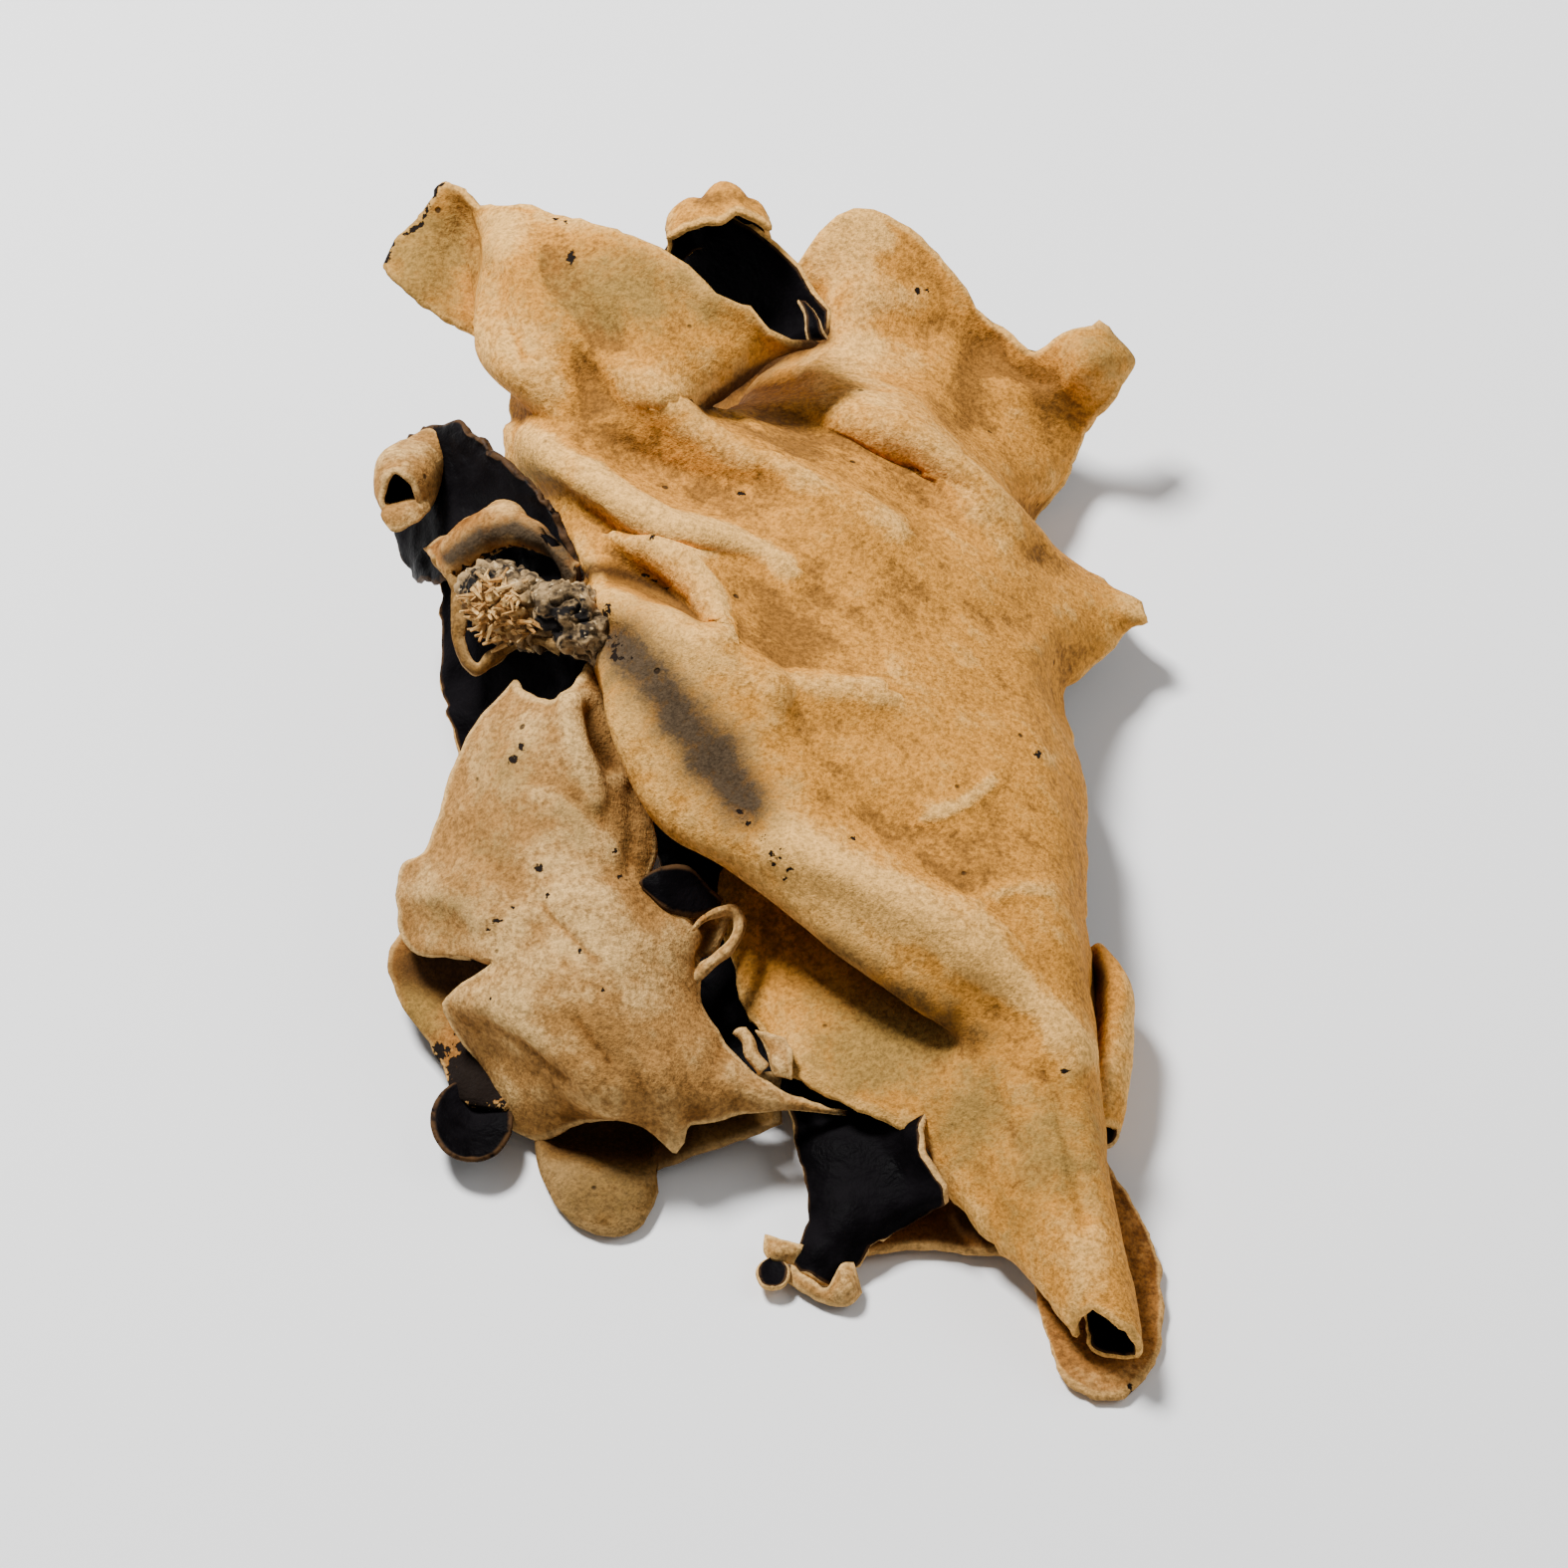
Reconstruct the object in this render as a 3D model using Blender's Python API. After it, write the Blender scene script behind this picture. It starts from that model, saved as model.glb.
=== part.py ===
"""Dried hairy wood ear mushroom, one clump grown from a single woody holdfast.

The clump is laid out as a viewer sees it who looks down on it at 50 degrees.
A spot is written as (across, up, height): millimetres to the right and up the
view, and millimetres above the table. A sheet is a list of rows of such spots,
each with its place along the row in front, and a smooth skin is laid through
them and given its thickness. All the sheets and the holdfast are one body.
"""
import math

import bmesh
import bpy
import numpy as np
from mathutils import Vector, noise

# Viewpoint that the spots are written in
VIEW_RISE_DEG = 50.0
VIEW_DISTANCE = 950.0
AIM_HEIGHT = 20.0
MM = 0.001

# Wall of the dried flesh, in millimetres
WALL = 1.5
RIM_WALL = 1.0
RIM_BAND = 2

# Places at which a row's length is measured before it is divided evenly
FINE_PLACES = 400

# The big main sheet, from its top rim (first row) down to its tail (last row).
# Place 0 is the left rim, 4 the trunk ridge, 8 the upper ridge, 9 to 11 the
# pleat that makes the roll at the top, 13 the right ridge and 16 the right rim.
MAIN_ROWS = [
    [(0, -50.5, 65, 34), (2, -47.5, 69.5, 36), (3, -44.5, 73, 38), (4, -41.5, 75.3, 40),
     (5, -37, 73, 42), (6, -31, 72.2, 44), (7, -22, 69.6, 46.5), (8, -12, 64.8, 47.5),
     (8.6, -3.5, 58.8, 45), (9, 4, 56.6, 37.5), (9.2, 6, 59, 37), (9.5, 2.5, 64.5, 39.5),
     (9.8, -2, 70, 43), (10.1, -8, 73, 44), (10.4, -14, 69, 37), (10.85, -20, 47, 6),
     (11, -15.5, 42, -0.2), (11.15, -10, 46, 5), (11.6, -4.5, 58, 17), (12, 1.5, 65.3, 25),
     (13, 9.5, 72.7, 29), (14, 21, 65, 23), (14.6, 27, 57, 18), (15, 31.5, 54.4, 17),
     (15.5, 36, 57, 20), (16, 39.7, 58.4, 20)],
    [(0, -44.5, 59.2, 33), (2, -43, 63, 34), (3, -41, 66.5, 35.5), (4, -39, 67.5, 36),
     (5, -36.5, 66, 42), (6, -31, 65.5, 45), (7, -22, 62, 46.5), (8, -13, 57.5, 45),
     (9, -2.5, 54.2, 36), (10, -7, 57, 29), (10.85, -19, 43, 6), (11, -14.5, 38.5, 0), (11.15, -10, 42.5, 5),
     (12, 3, 57, 19),
     (13, 9, 58, 23), (14, 20, 58, 19), (15, 33, 50.5, 14), (15.6, 39.5, 53.5, 20),
     (16, 43.7, 53.5, 17)],
    [(0, -38.5, 55.3, 31), (2, -37, 55, 32.5), (4, -35.5, 54.5, 36), (5, -33, 54, 41),
     (6, -29, 53.5, 42), (7, -24, 53, 41), (8, -15, 49.5, 42.5), (9, -8, 49.5, 35),
     (10, -10, 50.5, 27), (10.85, -16.5, 43, 13), (11, -13.5, 39, 8), (11.15, -10, 42, 11),
     (12, -3, 50, 18), (13, 6, 51, 24),
     (14, 19, 52, 20), (15, 32, 49, 14), (16, 40.5, 47.5, 13)],
    [(0, -34, 47, 29), (2, -33, 46.5, 31), (4, -31, 46, 34.5), (5, -28.5, 45.5, 36),
     (6, -26, 45, 36), (7, -21, 45.5, 36.5), (8, -14, 47.3, 40.3), (9, -10.5, 46, 36.5),
     (10, -9.2, 46.2, 33.5), (11, -7, 46.5, 31), (12, -1.5, 46.5, 28), (13, 11, 47.5, 30),
     (14, 20, 48, 21), (15, 31, 44, 12), (16, 37.5, 43.5, 7)],
    [(0, -35, 40.5, 28), (2, -33.5, 40.5, 30), (4, -30.5, 41, 34), (5, -28, 40, 37),
     (6, -24.5, 38.3, 38.5), (7, -17, 40.5, 34.5), (8, -8.5, 43, 38.3), (9, -5.5, 42.3, 37.3),
     (10, -3.2, 42, 36), (11, -0.3, 41.8, 34.3), (12, 8, 43, 29), (13, 16, 45, 31.5),
     (14, 22, 43, 22), (15, 30, 38.5, 12), (16, 35, 38, 4)],
    [(0, -31.5, 36.5, 27), (2, -30, 36.3, 29), (4, -27.5, 36.5, 34), (5, -25, 36.5, 36.5),
     (6, -19, 35, 39), (7, -11, 37, 35), (8, -1, 39.5, 37.5), (9, 2, 38.5, 36.5),
     (10, 4.5, 38, 35), (11, 7.5, 38.3, 33), (12, 15, 39.5, 27), (13, 22, 40, 28.5),
     (14, 26, 37.5, 22), (15, 29, 34.5, 11), (16, 31, 32.2, 1)],
    [(0, -27.5, 30.5, 28), (2, -26.5, 30, 31), (4, -24.5, 29.5, 34.5), (5, -20, 30.5, 35),
     (6, -13, 31.5, 39), (7, -6, 31.5, 36), (8, 3, 33, 36), (10, 11, 33.8, 33.5),
     (12, 20, 34.5, 26), (13, 27, 34, 24.5), (14, 31.5, 30.7, 18), (15, 38, 25.3, 12),
     (16, 45, 22, 9)],
    [(0, -25, 22.5, 31), (3, -23, 22, 35), (4, -20, 22.3, 38.5), (4.6, -16.5, 23.8, 32),
     (5.4, -12.5, 27.5, 38), (6.5, -5, 27.5, 35), (8, 5, 27, 34.5), (10, 15, 27.5, 32),
     (12, 25, 27, 26), (14, 33, 22, 18), (15, 38.5, 20.5, 12), (16, 44, 19.5, 8)],
    [(0, -24.5, 17, 28), (2, -22.5, 14.5, 33), (3, -21, 14, 36), (4, -12, 18.8, 41),
     (4.6, -9.5, 19.5, 36), (5.2, -7.5, 21, 38), (6.5, 0, 20.5, 34.5), (8, 9, 20.5, 33.5),
     (10, 17, 20, 31), (12, 25, 19, 26.5), (14, 32, 17, 20), (15, 35, 15.8, 13),
     (16, 38.5, 14.8, 8)],
    [(0, -20.5, 6, 24), (1.5, -19, 6.5, 28), (3, -18.6, 5, 33), (4, -6, 10, 37.5),
     (6, 1, 13, 35.5), (8, 10, 13, 33.5), (10, 18, 13, 31), (12, 26, 12.5, 26.5),
     (14, 31.5, 11.5, 20.5), (15, 33.8, 11.2, 14), (16, 35, 11, 8)],
    [(0, -12, -8, 13), (1.5, -12, -2.5, 18.5), (3, -15, -4.5, 28), (4, -5, 0, 33),
     (6, 4, 5, 33.5), (8, 13, 6.5, 32), (10, 20, 7, 30), (12, 27, 7, 26.5),
     (14, 32.5, 6.5, 21), (15, 35, 6.3, 14), (16, 36, 6, 8)],
    [(0, -4, -29, 10), (1, -3, -21, 12.5), (2, -0.5, -10.5, 16.5), (3, -5.5, -10.8, 25),
     (4, 2, -8.5, 31), (6, 11, -3.5, 30), (8, 18, -1.5, 30), (10, 24, -0.5, 28.5),
     (12, 29.5, 0, 25.5), (14, 34.5, 0, 20), (15, 36.7, 0, 14.5), (16, 37.6, 0, 9)],
    [(0, 2, -37, 10.5), (1, 5, -29, 12.5), (2, 10, -18.5, 15.5), (3, 6, -20, 22.8),
     (4, 12, -14.5, 29), (6, 18.5, -10.5, 27.5), (8, 24, -8.5, 27.5), (10, 29, -7.5, 26),
     (12, 33, -7.3, 23), (14, 36, -7.2, 18), (15, 37.2, -7.2, 14), (16, 37.7, -7.2, 10)],
    [(0, 11, -41.5, 11), (1, 14, -35, 13), (2, 18.5, -27, 15), (3, 16.3, -26.8, 20.8),
     (4, 23, -20.5, 26), (6, 28, -17.5, 25), (8, 31.3, -16.3, 24.5), (10, 33.8, -15.6, 23),
     (12, 35.7, -15.2, 20), (14, 36.9, -15, 16), (15, 37.3, -15, 13), (16, 37.4, -15, 10)],
    [(0, 17.3, -44.5, 10), (1, 20, -39, 13), (2, 22.5, -35, 15.5), (3, 25, -32, 18.5),
     (4, 30, -27.5, 21), (6, 33.3, -26.2, 21.3), (8, 35.3, -25.6, 20.5), (10, 36.6, -25.2, 19),
     (12, 37.5, -25.1, 16.5), (14, 38, -25, 13.5), (15, 38.2, -25, 11.5), (16, 38.2, -25, 9)],
    [(0, 20.5, -51, 7), (1, 22, -47, 10.5), (2, 25, -44, 13), (3, 28.5, -41.5, 15.3),
     (4, 32, -39.5, 17), (6, 34.5, -38.5, 17.5), (8, 36.5, -38, 17), (10, 38, -37.5, 15.3),
     (12, 38.9, -37.5, 12.5), (14, 38.7, -37.5, 9), (15, 37, -37.5, 7.5), (16, 34.5, -37.5, 7)],
    [(0, 23.5, -54.5, 5.5), (1, 24, -53, 8), (2, 26.5, -51, 10.5), (3, 29.5, -50, 13),
     (4, 33, -49.3, 14.8), (6, 36, -49.3, 15.2), (8, 38.3, -49.5, 14.5), (10, 39.9, -50, 12),
     (12, 40.7, -51, 9), (14, 39.5, -51.5, 6), (15, 37, -51.5, 5), (16, 34, -51, 4.8)],
    [(0, 29.5, -60.5, 4.3), (1, 29.5, -59.5, 6.5), (2, 31, -58.3, 9), (3, 33, -57.8, 11),
     (4, 35.5, -57.7, 12.8), (6, 38.2, -58.2, 13), (8, 40.5, -59, 12), (10, 42.2, -60, 9.5),
     (12, 42.8, -61.3, 6.5), (14, 41, -62.2, 4.3), (15, 38.5, -62, 3.6), (16, 36, -61.3, 3.6)],
    [(0, 37, -69.3, 4.5), (1, 36.6, -68, 6.5), (2, 37, -66.6, 8.3), (3, 38, -66.3, 9.7),
     (4, 39, -66.3, 10.6), (6, 40.8, -66.8, 10.8), (8, 42.5, -68, 10), (10, 44, -69.5, 8),
     (12, 44.6, -71, 5.7), (14, 43.5, -72.2, 4), (15, 41, -71.8, 3.4), (16, 38.8, -70.7, 3.6)],
]

# Folds raised out of the main sheet, or pressed into it when negative. Each is
# the line it follows in the view, its half width and its height.
MAIN_FOLDS = [
    ([(-27, 60), (-22, 55), (-19, 52)], 3.8, 1.2),
    ([(-10, 45.5), (-5, 42.5), (0, 40), (6, 35)], 3.6, 1.2),
    ([(-30, 42), (-25, 37.5), (-18, 34), (-5, 29.5), (0, 27)], 3.6, 1.3),
    ([(-27, 47), (-22, 44), (-15, 40.5), (-8, 37)], 4.0, -1.3),
    ([(-17, 29), (-12.5, 27), (-9.5, 23), (-8, 19)], 3.2, 1.0),
    ([(-17, 24.5), (-12.5, 21.8), (-10.5, 19.5)], 3.2, -1.0),
    ([(-18, 21.5), (-12, 19.5), (-6, 15), (5, 12)], 3.4, 1.0),
    ([(5, 50), (12, 46.5), (20, 41.5), (28, 35), (31, 31.5)], 3.4, 1.8),
    ([(10, 44), (15, 40), (20, 35), (23, 31)], 4.2, -1.4),
    ([(0, -8), (10, -13), (22, -20), (33, -29), (37, -34)], 3.0, 1.2),
]

# The pale lobe at the lower left, from its rolled neck down to its arched rim.
# Place 0 is its left rim, 5 the ridge that runs down from the neck, 8 the right rim.
LOBE_ROWS = [
    [(0, -33.3, 13.2, 27), (2, -30.5, 10.7, 31), (4, -27.5, 10.6, 32), (6, -26, 13, 32),
     (8, -25, 15.5, 31)],
    [(0, -37, 9, 25), (2, -33, 7, 29), (4, -28.5, 7.5, 31), (5, -26.5, 8.5, 32),
     (6.5, -24, 9, 30), (8, -22.7, 10, 27)],
    [(0, -40, 4.5, 23), (2, -35, 3, 27.5), (4, -29.5, 3.5, 30), (5, -26, 4.5, 31),
     (6, -23.5, 5, 28.5), (8, -19.7, 4.5, 24)],
    [(0, -42.5, -1, 21), (2, -36.5, -2, 25.5), (4, -30, -2, 28), (6, -24, -1, 27.5),
     (8, -18.2, -1, 22)],
    [(0, -45, -8.5, 18), (2, -38, -8, 23), (4, -31, -8, 26), (6, -24, -7, 26),
     (8, -16.2, -8.5, 20)],
    [(0, -48.3, -11, 15), (2, -41, -13, 21), (4, -32, -13, 24.5), (6, -24, -12.5, 25),
     (7, -19.5, -12.5, 22.5), (8, -17.3, -13.7, 20)],
    [(0, -48, -18, 12), (2, -40.5, -18, 18.5), (4, -31, -19, 23), (6, -22, -18.5, 23.5),
     (7, -15, -18, 20), (8, -7, -16.3, 17)],
    [(0, -37.5, -22, 16), (2, -33.5, -22.5, 19), (4, -28, -23.5, 22), (6, -21, -23.5, 22),
     (7, -15, -23, 19), (8, -10, -22.8, 15)],
    [(0, -42, -28, 9.5), (2, -36, -28, 15), (4, -29, -28.5, 19.5), (6, -21, -29, 20),
     (7, -14.5, -29, 17.5), (8, -9.7, -29, 14)],
    [(0, -39, -34.5, 6), (2, -34.5, -34, 11.5), (4, -28, -34, 16.5), (6, -20, -34.5, 17.5),
     (7, -13, -34.5, 15.5), (8, -5, -36, 12)],
    [(0, -36.2, -41.5, 2.5), (2, -32.5, -40, 7), (4, -27, -39.5, 11.5), (6, -19, -39.5, 14),
     (7, -10, -39, 13), (8, 0, -39, 10.5)],
    [(0, -33, -44.3, 1.5), (1.5, -29, -44.8, 2.8), (3, -25, -43, 6), (4.5, -19.5, -42.2, 9),
     (5.7, -13.3, -45.5, 6.8), (6.8, -8.5, -41.6, 9), (8, 7.5, -41.4, 8.5)],
]

# The round lip below the pale lobe's arch. Each row runs out to its rim.
LIP_ROWS = [
    [(0, -31.5, -38, 6.5), (1, -31.3, -42.5, 3.4), (2, -30.6, -47, 1.2)],
    [(0, -28, -38, 8), (1, -28.8, -45, 1.8), (2, -29.5, -52, 0.2)],
    [(0, -25, -38, 9), (1, -25.3, -47, 1.2), (2, -26, -56, 0)],
    [(0, -22, -38, 9), (1, -21.3, -47, 0.6), (2, -21, -57, 0)],
    [(0, -19, -38, 9), (1, -17.7, -46, 1), (2, -17, -54.5, 0.4)],
    [(0, -16, -38, 9), (1, -15.5, -43.5, 3), (2, -16, -49.8, 1.8)],
    [(0, -11, -37.5, 9), (1, -11, -42, 4), (2, -12, -47, 3)],
    [(0, -5, -37, 9), (1, -4, -40.5, 5), (2, -6, -45, 3.6)],
    [(0, 1, -36.5, 8), (1, 1, -39, 6), (2, -0.3, -42.6, 4.6)],
]

# The layer that shows in the pocket at the pale lobe's left rim.
POCKET_ROWS = [
    [(0, -44.5, -14, 13.5), (2, -40, -13, 16), (4, -34, -13, 20)],
    [(0, -48.5, -19, 8.5), (2, -42.5, -19, 10.5), (4, -34, -19, 14)],
    [(0, -49.8, -23, 6), (2, -43.5, -24, 8), (4, -34, -25, 11)],
    [(0, -47.8, -28, 4.8), (2, -43, -29, 6.5), (4, -34, -30, 8)],
    [(0, -44.3, -32.7, 3.8), (2, -41, -33.5, 5.4), (4, -34, -35, 6)],
    [(0, -42.5, -36.5, 3.6), (2, -39.5, -37.5, 5), (4, -34, -39, 5.4)],
    [(0, -41.5, -39.5, 3.4), (2, -39, -40.5, 4.4), (4, -35, -41, 4.8)],
]

# The dark sheet behind the pale lobe's neck, black side to the viewer.
NECK_ROWS = [
    [(0, -43, 19, 20), (2, -35, 19.5, 26), (4, -24, 18, 31)],
    [(0, -42.7, 12, 18), (2, -35, 13, 22.5), (4, -25, 12, 28)],
    [(0, -41.8, 6.5, 17), (2, -34, 7, 20), (4, -26, 7, 25)],
    [(0, -40.5, 2, 15), (2, -33, 2, 18), (4, -26, 2, 23)],
]

# The black sheet that hangs between the lobes and down to the tail, black side up.
HANGING_ROWS = [
    [(0, -19, -4, 18), (3, -13, -5, 20), (6, -6, -5, 22), (8, -2, -4, 25)],
    [(0, -15, -11, 12), (3, -10, -11.5, 13.5), (6, -4, -11, 14.5), (8, 0, -11, 16)],
    [(0, -13.5, -18, 9), (3, -8, -19, 10.5), (6, -3.5, -19, 11), (8, 2, -19, 11)],
    [(0, -11, -28, 7), (3, -6.5, -29, 8), (6, -1, -29, 7.5), (8, 6, -29, 9)],
    [(0, -6, -36, 6.5), (3, 0, -36.5, 6.5), (6, 9, -38, 6.5), (8, 20, -37, 8.5)],
    [(0, 0, -41, 5), (3, 8, -42, 6.5), (6, 17.5, -43.5, 6.5), (8, 32, -42, 8.2)],
    [(0, 2.3, -48, 3.5), (3, 9.5, -48.5, 6), (6, 19.2, -49.5, 4.8), (8, 35, -47, 6.5)],
    [(0, 3.5, -54, 2.6), (3, 8, -54.5, 4.6), (6, 18.5, -54, 3.7), (8, 32, -54.5, 5.2)],
    [(0, 2, -58.5, 1.8), (3, 5.5, -59, 2.8), (6, 10.5, -59.3, 2.4), (8, 14, -58.5, 2.5)],
    [(0, 2.5, -61.5, 0.8), (3, 4, -62.3, 1.3), (6, 6.5, -63, 0.9), (8, 8, -62.5, 0.8)],
]

# The layer that lies on the table under the tail. Each row runs out to its rim.
FOOT_ROWS = [
    [(0, 12, -53, 2.6), (1, 10.2, -57, 1.8), (2, 8.5, -59.6, 1.4)],
    [(0, 17, -50, 3.4), (1, 16.3, -54.5, 1.8), (2, 16, -58.8, 1.3)],
    [(0, 24, -49, 5), (1, 24, -54, 3), (2, 24, -59, 1.6)],
    [(0, 29.5, -50, 4.8), (1, 30, -55.5, 2.6), (2, 30.5, -60.5, 1.2)],
    [(0, 32.5, -54, 4), (1, 32.7, -61, 2), (2, 33, -69.5, 0.9)],
    [(0, 35, -59, 3), (1, 35.5, -67, 1.2), (2, 36, -76.3, 0)],
    [(0, 38, -62, 2.4), (1, 39.5, -70, 0.8), (2, 41, -78.5, -0.4)],
    [(0, 40.5, -61, 2.4), (1, 43.3, -67.5, 1), (2, 46, -75, 0)],
    [(0, 41.3, -58, 3), (1, 44.5, -61.8, 1.8), (2, 47.6, -66, 1)],
    [(0, 40.2, -54, 4), (1, 43.4, -56.2, 2.8), (2, 46.6, -58.5, 1.8)],
    [(0, 38.5, -50, 5.2), (1, 41.2, -51.5, 4.2), (2, 43.8, -53, 3.2)],
    [(0, 36.8, -46.5, 6.5), (1, 38.7, -47.2, 6), (2, 40.6, -48, 5.5)],
]

# The crumpled dark lobe behind the holdfast, black side to the viewer.
DARK_ROWS = [
    [(0, -47, 26, 18), (2, -42, 26, 24), (4, -36, 26, 28), (6, -30, 25, 31), (8, -26, 24, 32)],
    [(0, -49, 32, 20), (2, -43.5, 33, 26), (4, -37, 34, 30), (6, -31, 31.5, 33.5),
     (8, -26.5, 29, 35)],
    [(0, -50, 38, 23), (2, -44, 38.5, 28), (4, -38.5, 38, 32.5), (6, -33, 35.5, 35.5),
     (8, -28.3, 32, 36.5)],
    [(0, -47, 44, 29), (2, -43.5, 45, 32), (4, -40, 45, 35), (6, -35, 40.5, 37.5),
     (8, -29.3, 33.8, 37.5)],
]

# The tan collar that arches over the holdfast.
COLLAR_ROWS = [
    [(0, -45, 28.5, 28), (1, -41, 33, 32), (2, -36, 36, 34.5), (3, -33, 35.5, 35.5),
     (4, -30, 33, 36.3), (5, -25, 29, 36.5)],
    [(0, -43.5, 27, 30), (1, -40, 31, 34.5), (2, -36, 33.3, 36.5), (3, -32.7, 33, 37.5),
     (4, -29.7, 31, 38), (5, -25.5, 26, 37.3)],
    [(0, -41.5, 25.5, 29), (1, -38.5, 29, 32.5), (2, -35.5, 30.5, 34), (3, -32.5, 30.5, 35),
     (4, -29.5, 28.3, 34.5), (5, -27, 23.5, 33)],
]

# The lip that rolls inward at the far side of the roll's mouth.
MOUTH_LIP_ROWS = [
    [(0, -14, 65, 36), (1, -11.3, 67.5, 38.5), (2, -7.7, 68, 39.8), (3, -4.5, 67.5, 40.2),
     (4, -1.3, 65.5, 39.5)],
    [(0, -14.5, 70, 44), (1, -12, 73.2, 46), (2, -8, 75, 47.5), (3, -5, 74.2, 47),
     (4, -2.3, 71.6, 45)],
    [(0, -14, 68.7, 46.5), (1, -10.5, 70.8, 48.5), (2, -7, 71.4, 49), (3, -4.5, 71.8, 48.5),
     (4, -2.6, 70.6, 47)],
]

# Tubes: each ring is (across, up, height, radius) of its centre, from closed root to open mouth.
SIDE_ROLL = [(38.8, -20.5, 10, 1.2), (40, -25, 10, 2.8), (40.3, -31, 9, 3.2), (40.2, -38, 8, 2.9),
             (39.9, -43.8, 6, 2.2)]
SMALL_ROLL = [(-41, 36, 26, 3.4), (-44.5, 38, 28, 4.2), (-47.5, 38, 29, 4.4), (-50, 37, 29, 3.8)]

# The black cup below the pocket: centre, radius and depth
CUP_CENTRE = (-39.3, -42.4, 4.6)
CUP_RADIUS = 4.9
CUP_DEPTH = 2.2
CUP_SHARES = (0.93, 0.6, 0.0, -0.6, -0.93)

# The woody holdfast that all of it grew from: centre and half sizes
STUB_CENTRE = (-33.2, 21.6, 33)
STUB_HALF = (8.2, 7.6, 6.4)
STUB_LUMP = 2.4
STUB_LUMP_SIZE = 4.5

TAN_COLOUR = (0.42, 0.27, 0.14)
BLACK_COLOUR = (0.012, 0.011, 0.014)
TAN, BLACK = 0, 1
TABLE_BLOCK = 0.4
SHARP_DEG = 60.0

RISE = math.radians(VIEW_RISE_DEG)
VIEW_RIGHT = np.array([1.0, 0.0, 0.0])
VIEW_UP = np.array([0.0, math.sin(RISE), math.cos(RISE)])
VIEW_BACK = np.array([0.0, -math.cos(RISE), math.sin(RISE)])
AIM = np.array([0.0, 0.0, AIM_HEIGHT])
EYE = AIM + VIEW_DISTANCE * VIEW_BACK


def spot(across, up, height):
    """The point at this height that the viewer sees at (across, up)."""
    seen = AIM + across * VIEW_RIGHT + up * VIEW_UP
    reach = (height - EYE[2]) / (seen[2] - EYE[2])
    return EYE + (seen - EYE) * reach


def smooth(places, points, wanted):
    """A smooth curve through the points at their places, read at the wanted places."""
    places = np.asarray(places, float)
    points = np.asarray(points, float)
    steps = np.diff(places)
    chords = np.diff(points, axis=0) / steps[:, None]
    slopes = np.empty_like(points)
    slopes[0] = chords[0]
    slopes[-1] = chords[-1]
    before = steps[:-1, None]
    after = steps[1:, None]
    slopes[1:-1] = (after * chords[:-1] + before * chords[1:]) / (before + after)
    span = np.clip(np.searchsorted(places, wanted, side="right") - 1, 0, len(steps) - 1)
    length = steps[span][:, None]
    t = (np.asarray(wanted) - places[span])[:, None] / length
    start = points[span] * (1 + 2 * t) * (1 - t) ** 2
    end = points[span + 1] * (3 - 2 * t) * t ** 2
    lead = slopes[span] * length * t * (1 - t) ** 2
    follow = slopes[span + 1] * length * (t - 1) * t ** 2
    return start + end + lead + follow


def row_curve(row, wanted):
    """One row of a sheet, read at the wanted places."""
    places = [entry[0] for entry in row]
    points = [spot(*entry[1:]) for entry in row]
    return smooth(places, points, wanted)


def facing(grid, closed=False):
    """The direction that each place of a grid faces, on its side towards the viewer."""
    if closed:
        side_step = np.roll(grid, -1, axis=1) - np.roll(grid, 1, axis=1)
    else:
        side_step = np.gradient(grid, axis=1)
    outward = np.cross(np.gradient(grid, axis=0), side_step)
    return outward / np.linalg.norm(outward, axis=2, keepdims=True)


def folded(grid, folds):
    """The grid with its folds raised, where it faces the viewer."""
    outward = facing(grid)
    ray = grid - EYE
    reach = VIEW_DISTANCE / (ray @ -VIEW_BACK)
    seen = EYE + ray * reach[..., None] - AIM
    view = np.stack([seen @ VIEW_RIGHT, seen @ VIEW_UP], axis=2)
    towards = np.clip(outward @ VIEW_BACK, 0.0, 1.0)
    lift = np.zeros(grid.shape[:2])
    for line, half_width, height in folds:
        nearest = np.full(grid.shape[:2], np.inf)
        for start, end in zip(np.array(line, float), np.array(line[1:], float)):
            run = end - start
            share = np.clip(((view - start) @ run) / (run @ run), 0.0, 1.0)
            apart = np.linalg.norm(view - start - share[..., None] * run, axis=2)
            nearest = np.minimum(nearest, apart)
        lift += height * np.exp(-(nearest / half_width) ** 2)
    return grid + outward * (lift * np.sqrt(towards))[..., None]


def skin(rows, count_across, count_along):
    """The middle surface of a sheet, as a grid of points through its rows."""
    fine = np.linspace(rows[0][0][0], rows[0][-1][0], FINE_PLACES)
    reach = np.zeros(FINE_PLACES - 1)
    for row in rows:
        reach += np.linalg.norm(np.diff(row_curve(row, fine), axis=0), axis=1)
    travelled = np.concatenate([[0.0], np.cumsum(reach)])
    across_places = np.interp(np.linspace(0.0, travelled[-1], count_across), travelled, fine)
    curves = np.array([row_curve(row, across_places) for row in rows])
    apart = np.linalg.norm(np.diff(curves, axis=0), axis=2).mean(axis=1)
    along_places = np.concatenate([[0.0], np.cumsum(apart)])
    wanted = np.linspace(0.0, along_places[-1], count_along)
    flat = curves.reshape(len(rows), -1)
    return smooth(along_places, flat, wanted).reshape(count_along, count_across, 3)


def rim_distance(count, closed):
    """How many steps each place of a grid side is from the nearer rim."""
    if closed:
        return np.full(count, RIM_BAND)
    index = np.arange(count)
    return np.minimum(index, count - 1 - index)


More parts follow.
